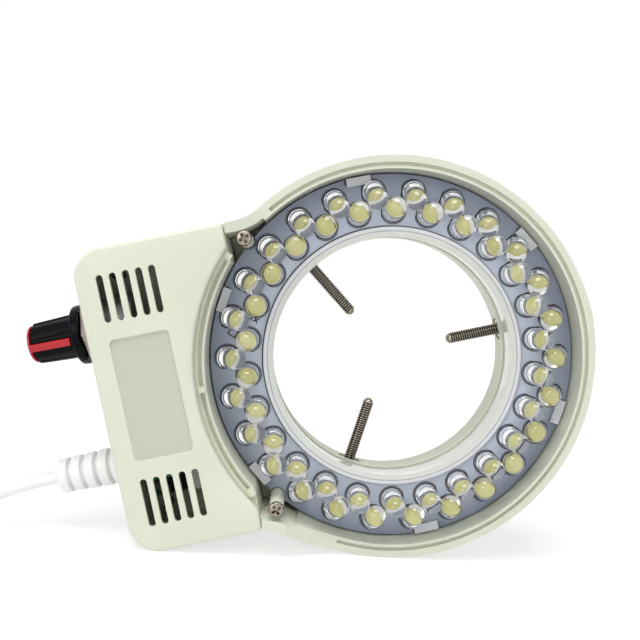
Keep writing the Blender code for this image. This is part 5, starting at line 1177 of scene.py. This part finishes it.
rod_steps = int(round((ROD_LENGTH - THREAD_START) / (THREAD_PITCH / STEPS_PER_TURN)))
rod = [(ROD_RADIUS, THREAD_START + THREAD_SPAN * i / rod_steps) for i in range(rod_steps)]
screw_profile = (
    in_mm((0.0, 0.0), (0.4, 0.06), (0.75, 0.22), (1.05, 0.5), (1.25, 0.85))
    + rod
    + in_mm((1.35, 0.0), (2.7, 0.0), (2.9, 0.1), (3.3, 0.5), above=ROD_LENGTH)
    + in_mm((3.3, -0.5), (2.9, -0.1), (2.7, 0.0), (0.0, 0.0), above=ROD_LENGTH + HEAD_LENGTH)
)
for i, (number, angle, tip) in enumerate(zip(("one", "two", "three"), THUMB_ANGLES, THUMB_TIPS)):
    bush = lathe(f"bush_{i + 1}_fine", soften(BUSH_PROFILE, 0.2 * MM, ring=True), 48, brass, ring=True)
    dress(bush, "brass", f"collar_bush_{i + 1}", place=thumb_place(BUSH_RADIUS, angle))
    screw = lathe(f"thumb_screw_{i + 1}_fine", screw_profile, 60, nickel, shape=threaded)
    dress(
        screw, "plated_steel", f"thumb_screw_{i + 1}", place=thumb_place(tip, angle),
        body=f"thumb_screw_{number}", sharp=50.0,
    )

# %% [markdown]
# ## Dimmer knob
#
# A black knob with a skirt, thin ribs along its grip, a red stripe and a red cap.

# %% Knob
KNOB_BASE = 2.6 * MM
KNOB_TIP = 15.8 * MM
SKIRT_TOP = KNOB_BASE + 2.1 * MM
CAP_THICKNESS = 0.8 * MM
BODY_TOP = KNOB_TIP - CAP_THICKNESS - SEAT_GAP
STRIPE_ANGLE = radians(-10.0)
STRIPE_WIDTH = 1.7 * MM
CHANNEL_SIZE = (4.0 * MM, 2.1 * MM, 20.0 * MM)
RIBS = 12
RIB_HEIGHT = 0.28 * MM
RIB_HALF_WIDTH = 0.45 * MM
RIB_SLOPE = 0.25 * MM
GRIP_RADIUS = 4.6 * MM


def ribbed(radius, height, angle):
    """Raised ribs between smooth faces, on the grip alone."""
    if height <= SKIRT_TOP or radius < GRIP_RADIUS:
        return radius
    turned = (angle - STRIPE_ANGLE) / tau * RIBS
    offset = abs(turned - round(turned)) * tau / RIBS * radius
    return radius - RIB_HEIGHT * min(1.0, max(0.0, (offset - RIB_HALF_WIDTH) / RIB_SLOPE))


knob_profile = (
    in_mm((0.0, 0.0), (4.3, 0.0), (4.9, -0.35), (5.0, -2.0), above=BODY_TOP)
    + in_mm((5.4, 0.2), (5.5, 0.0), (6.6, -0.02), (6.9, -0.15), (7.08, -0.4), (7.15, -0.9), above=SKIRT_TOP)
    + in_mm((7.15, 0.15), (7.0, 0.0), (3.3, 0.0), (3.3, 9.8), (0.0, 9.8), above=KNOB_BASE)
)
knob = lathe("knob_fine", knob_profile, 240, black_plastic, shape=ribbed)
channel = bmesh.new()
channel_foot = SKIRT_TOP + 0.4 * MM
channel_place = (3.7 * MM + CHANNEL_SIZE[0] / 2, 0.0, channel_foot + CHANNEL_SIZE[2] / 2)
add_block(channel, CHANNEL_SIZE, channel_place, STRIPE_ANGLE)
combine(knob, object_from(channel, "channel"))
dress(knob, "black_plastic", "knob_body", place=side_place(KNOB_Y), body="knob")

cap_profile = in_mm(
    (0.0, 0.0), (3.6, -0.02), (4.2, -0.2), (4.4, -0.45), (4.4, -0.8), (0.0, -0.8), above=KNOB_TIP
)
cap = lathe("pointer_fine", cap_profile, 96, red_plastic)
stripe_foot = SKIRT_TOP + 0.6 * MM
stripe_outline = in_mm((4.0, 0.0), (5.7, 0.0), above=stripe_foot)
stripe_outline += in_mm((5.2, -0.9), (4.7, -0.4), (4.0, -0.4), above=KNOB_TIP)
stripe_outline = soften(stripe_outline, 0.3 * MM, ring=True)
stripe = prism("stripe", [stripe_outline], -STRIPE_WIDTH / 2, STRIPE_WIDTH / 2)
stripe.data.transform(turned("Z", STRIPE_ANGLE) @ turned("X"))
bevel(stripe, 0.2 * MM, 3)
combine(cap, stripe, "UNION")
dress(cap, "red_plastic", "knob_pointer", place=side_place(KNOB_Y), body="knob")

# %% [markdown]
# ## Strain relief
#
# A white relief with four grooves. Its foot is held in the housing's wall.

# %% Strain relief
RELIEF_GROOVES = 4
RELIEF_PITCH = 3.25 * MM
RELIEF_TAPER = 0.6 * MM
relief_profile = in_mm((0.0, 0.0), (2.0, 0.0), (3.6, -0.15), (4.0, -0.55), above=RELIEF_LENGTH)
for i in range(RELIEF_GROOVES):
    top = RELIEF_LENGTH - 2.6 * MM - i * RELIEF_PITCH
    outer = 4.0 * MM + RELIEF_TAPER * (RELIEF_LENGTH - top) / RELIEF_LENGTH
    inner = outer - 1.5 * MM
    relief_profile += [
        (outer, top), (inner, top - 0.02 * MM), (inner, top - 1.08 * MM), (outer + 0.05 * MM, top - 1.1 * MM)
    ]
relief_profile += in_mm((4.6, 0.0), (3.1, 0.0), above=SEAT_GAP)
relief_profile += in_mm((3.1, -2.3), (4.4, -2.3), (4.4, -3.8), (1.6, -3.8), (1.6, -5.5), (0.0, -5.5))
relief = lathe("strain_relief_fine", soften(relief_profile, 0.14 * MM), 64, white_pvc)
dress(relief, "white_pvc", "strain_relief", place=side_place(RELIEF_Y))

# %% [markdown]
# ## Pieces kept from the frame
#
# What the lid hides keeps its CAD form and gets its own finish.

# %% Kept pieces
KEPT = (
    (pressed_metal, "pot_body"), (nickel, "pot_nut", "pot_shaft", "driver_screw_1", "driver_screw_2"),
    (green_board, "driver_board"), (green_plastic, "terminal_block"), (orange_film, "filter_capacitor"),
    (black_plastic, "bridge_rectifier", "controller_chip"), (white_pvc, "output_socket"),
    (yellow_tape, "transformer"), (blue_sleeve, "bulk_capacitor"), (fuse_glass, "fuse"),
    (red_wire, "led_wire_plus", "pot_wire_2"), (black_wire, "led_wire_minus", "pot_wire_3"),
    (white_wire, "pot_wire_1"),
)
for material, *names in KEPT:
    for name in names:
        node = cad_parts[name]
        node.data.materials.clear()
        node.data.materials.append(material)
print("kept nodes:", sum(len(names) for material, *names in KEPT))

# %% [markdown]
# ## Table and light
#
# A plain pale table, and a white surround that the camera, gloss and clear pieces see. The table's own
# glow rises with the distance from the lamp, so that its far edge melts into the surround. The lamps
# are large and soft, and the main one hangs above, so that the rims facing up are the brightest.

# %% Table
TABLE_REACH = 3.0
WHITE = (1.0, 1.0, 1.0, 1.0)
GLOW_STRENGTH = 1.3
GLOW_SPREAD = {"From Min": 0.08, "From Max": 0.45, "To Min": 0.5, "To Max": 1.0}


def seen_ray(tree):
    """One for a ray from the camera, off a glossy face or through a clear piece, and zero for others."""
    path = add(tree, "ShaderNodeLightPath").outputs
    either = maths(tree, "MAXIMUM", path["Is Camera Ray"], path["Is Glossy Ray"])
    return maths(tree, "MAXIMUM", either, path["Is Transmission Ray"])


def blend(tree, share, first, second, output):
    """Sends a mix of two shaders to the tree's output."""
    mixed = add(tree, "ShaderNodeMixShader", {0: share, 1: first.outputs[0], 2: second.outputs[0]})
    tree.links.new(mixed.outputs[0], tree.nodes[output].inputs["Surface"])


table = new_object("table", bpy.data.meshes.new("table"))
corners = [(TABLE_REACH * x, TABLE_REACH * y, 0.0) for x, y in ((-1, -1), (1, -1), (1, 1), (-1, 1))]
table.data.from_pydata(corners, [], [(0, 1, 2, 3)])
paper = new_material("white_paper", "F7F7F7", 0.8)
tree = paper.node_tree
glow = add(tree, "ShaderNodeEmission", {"Color": WHITE, "Strength": GLOW_STRENGTH})
place = add(tree, "ShaderNodeTexCoord").outputs["Object"]
away = add(tree, "ShaderNodeVectorMath", {0: place}, operation="LENGTH").outputs["Value"]
spread = add(tree, "ShaderNodeMapRange", {"Value": away, **GLOW_SPREAD}).outputs["Result"]
share = maths(tree, "MULTIPLY", seen_ray(tree), spread)
blend(tree, share, tree.nodes["Principled BSDF"], glow, "Material Output")
table.data.materials.append(paper)
table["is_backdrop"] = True

# %% Light
SURROUND_STRENGTH = 0.34
AIM = (0.0, 0.0, 0.045)
SOFT_LAMPS = (
    ("above", (-0.05, -0.20, 0.75), 0.55, 4.6),
    ("front_left", (-0.55, -0.70, 0.35), 0.6, 1.9),
    ("front_right", (0.6, -0.6, 0.3), 0.6, 0.5),
)
world = bpy.data.worlds.new("studio")
bpy.context.scene.world = world
world.use_nodes = True
tree = world.node_tree
white = tree.nodes["Background"]
white.inputs["Color"].default_value = WHITE
white.inputs["Strength"].default_value = 1.0
soft = add(tree, "ShaderNodeBackground", {"Color": (0.95, 0.97, 1.0, 1.0), "Strength": SURROUND_STRENGTH})
blend(tree, seen_ray(tree), soft, white, "World Output")
for name, place, size, power in SOFT_LAMPS:
    data = bpy.data.lights.new(name, "AREA")
    data.shape = "DISK"
    data.size = size
    data.energy = power
    lamp = new_object(name, data)
    lamp.location = place
    lamp.rotation_euler = (Vector(AIM) - Vector(place)).to_track_quat("-Z", "Y").to_euler()
bpy.context.scene.view_settings.view_transform = "Standard"

# %% Close
low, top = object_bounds()
print("visual box, mm:", [round(float(c) * 1000, 1) for c in low], [round(float(c) * 1000, 1) for c in top])
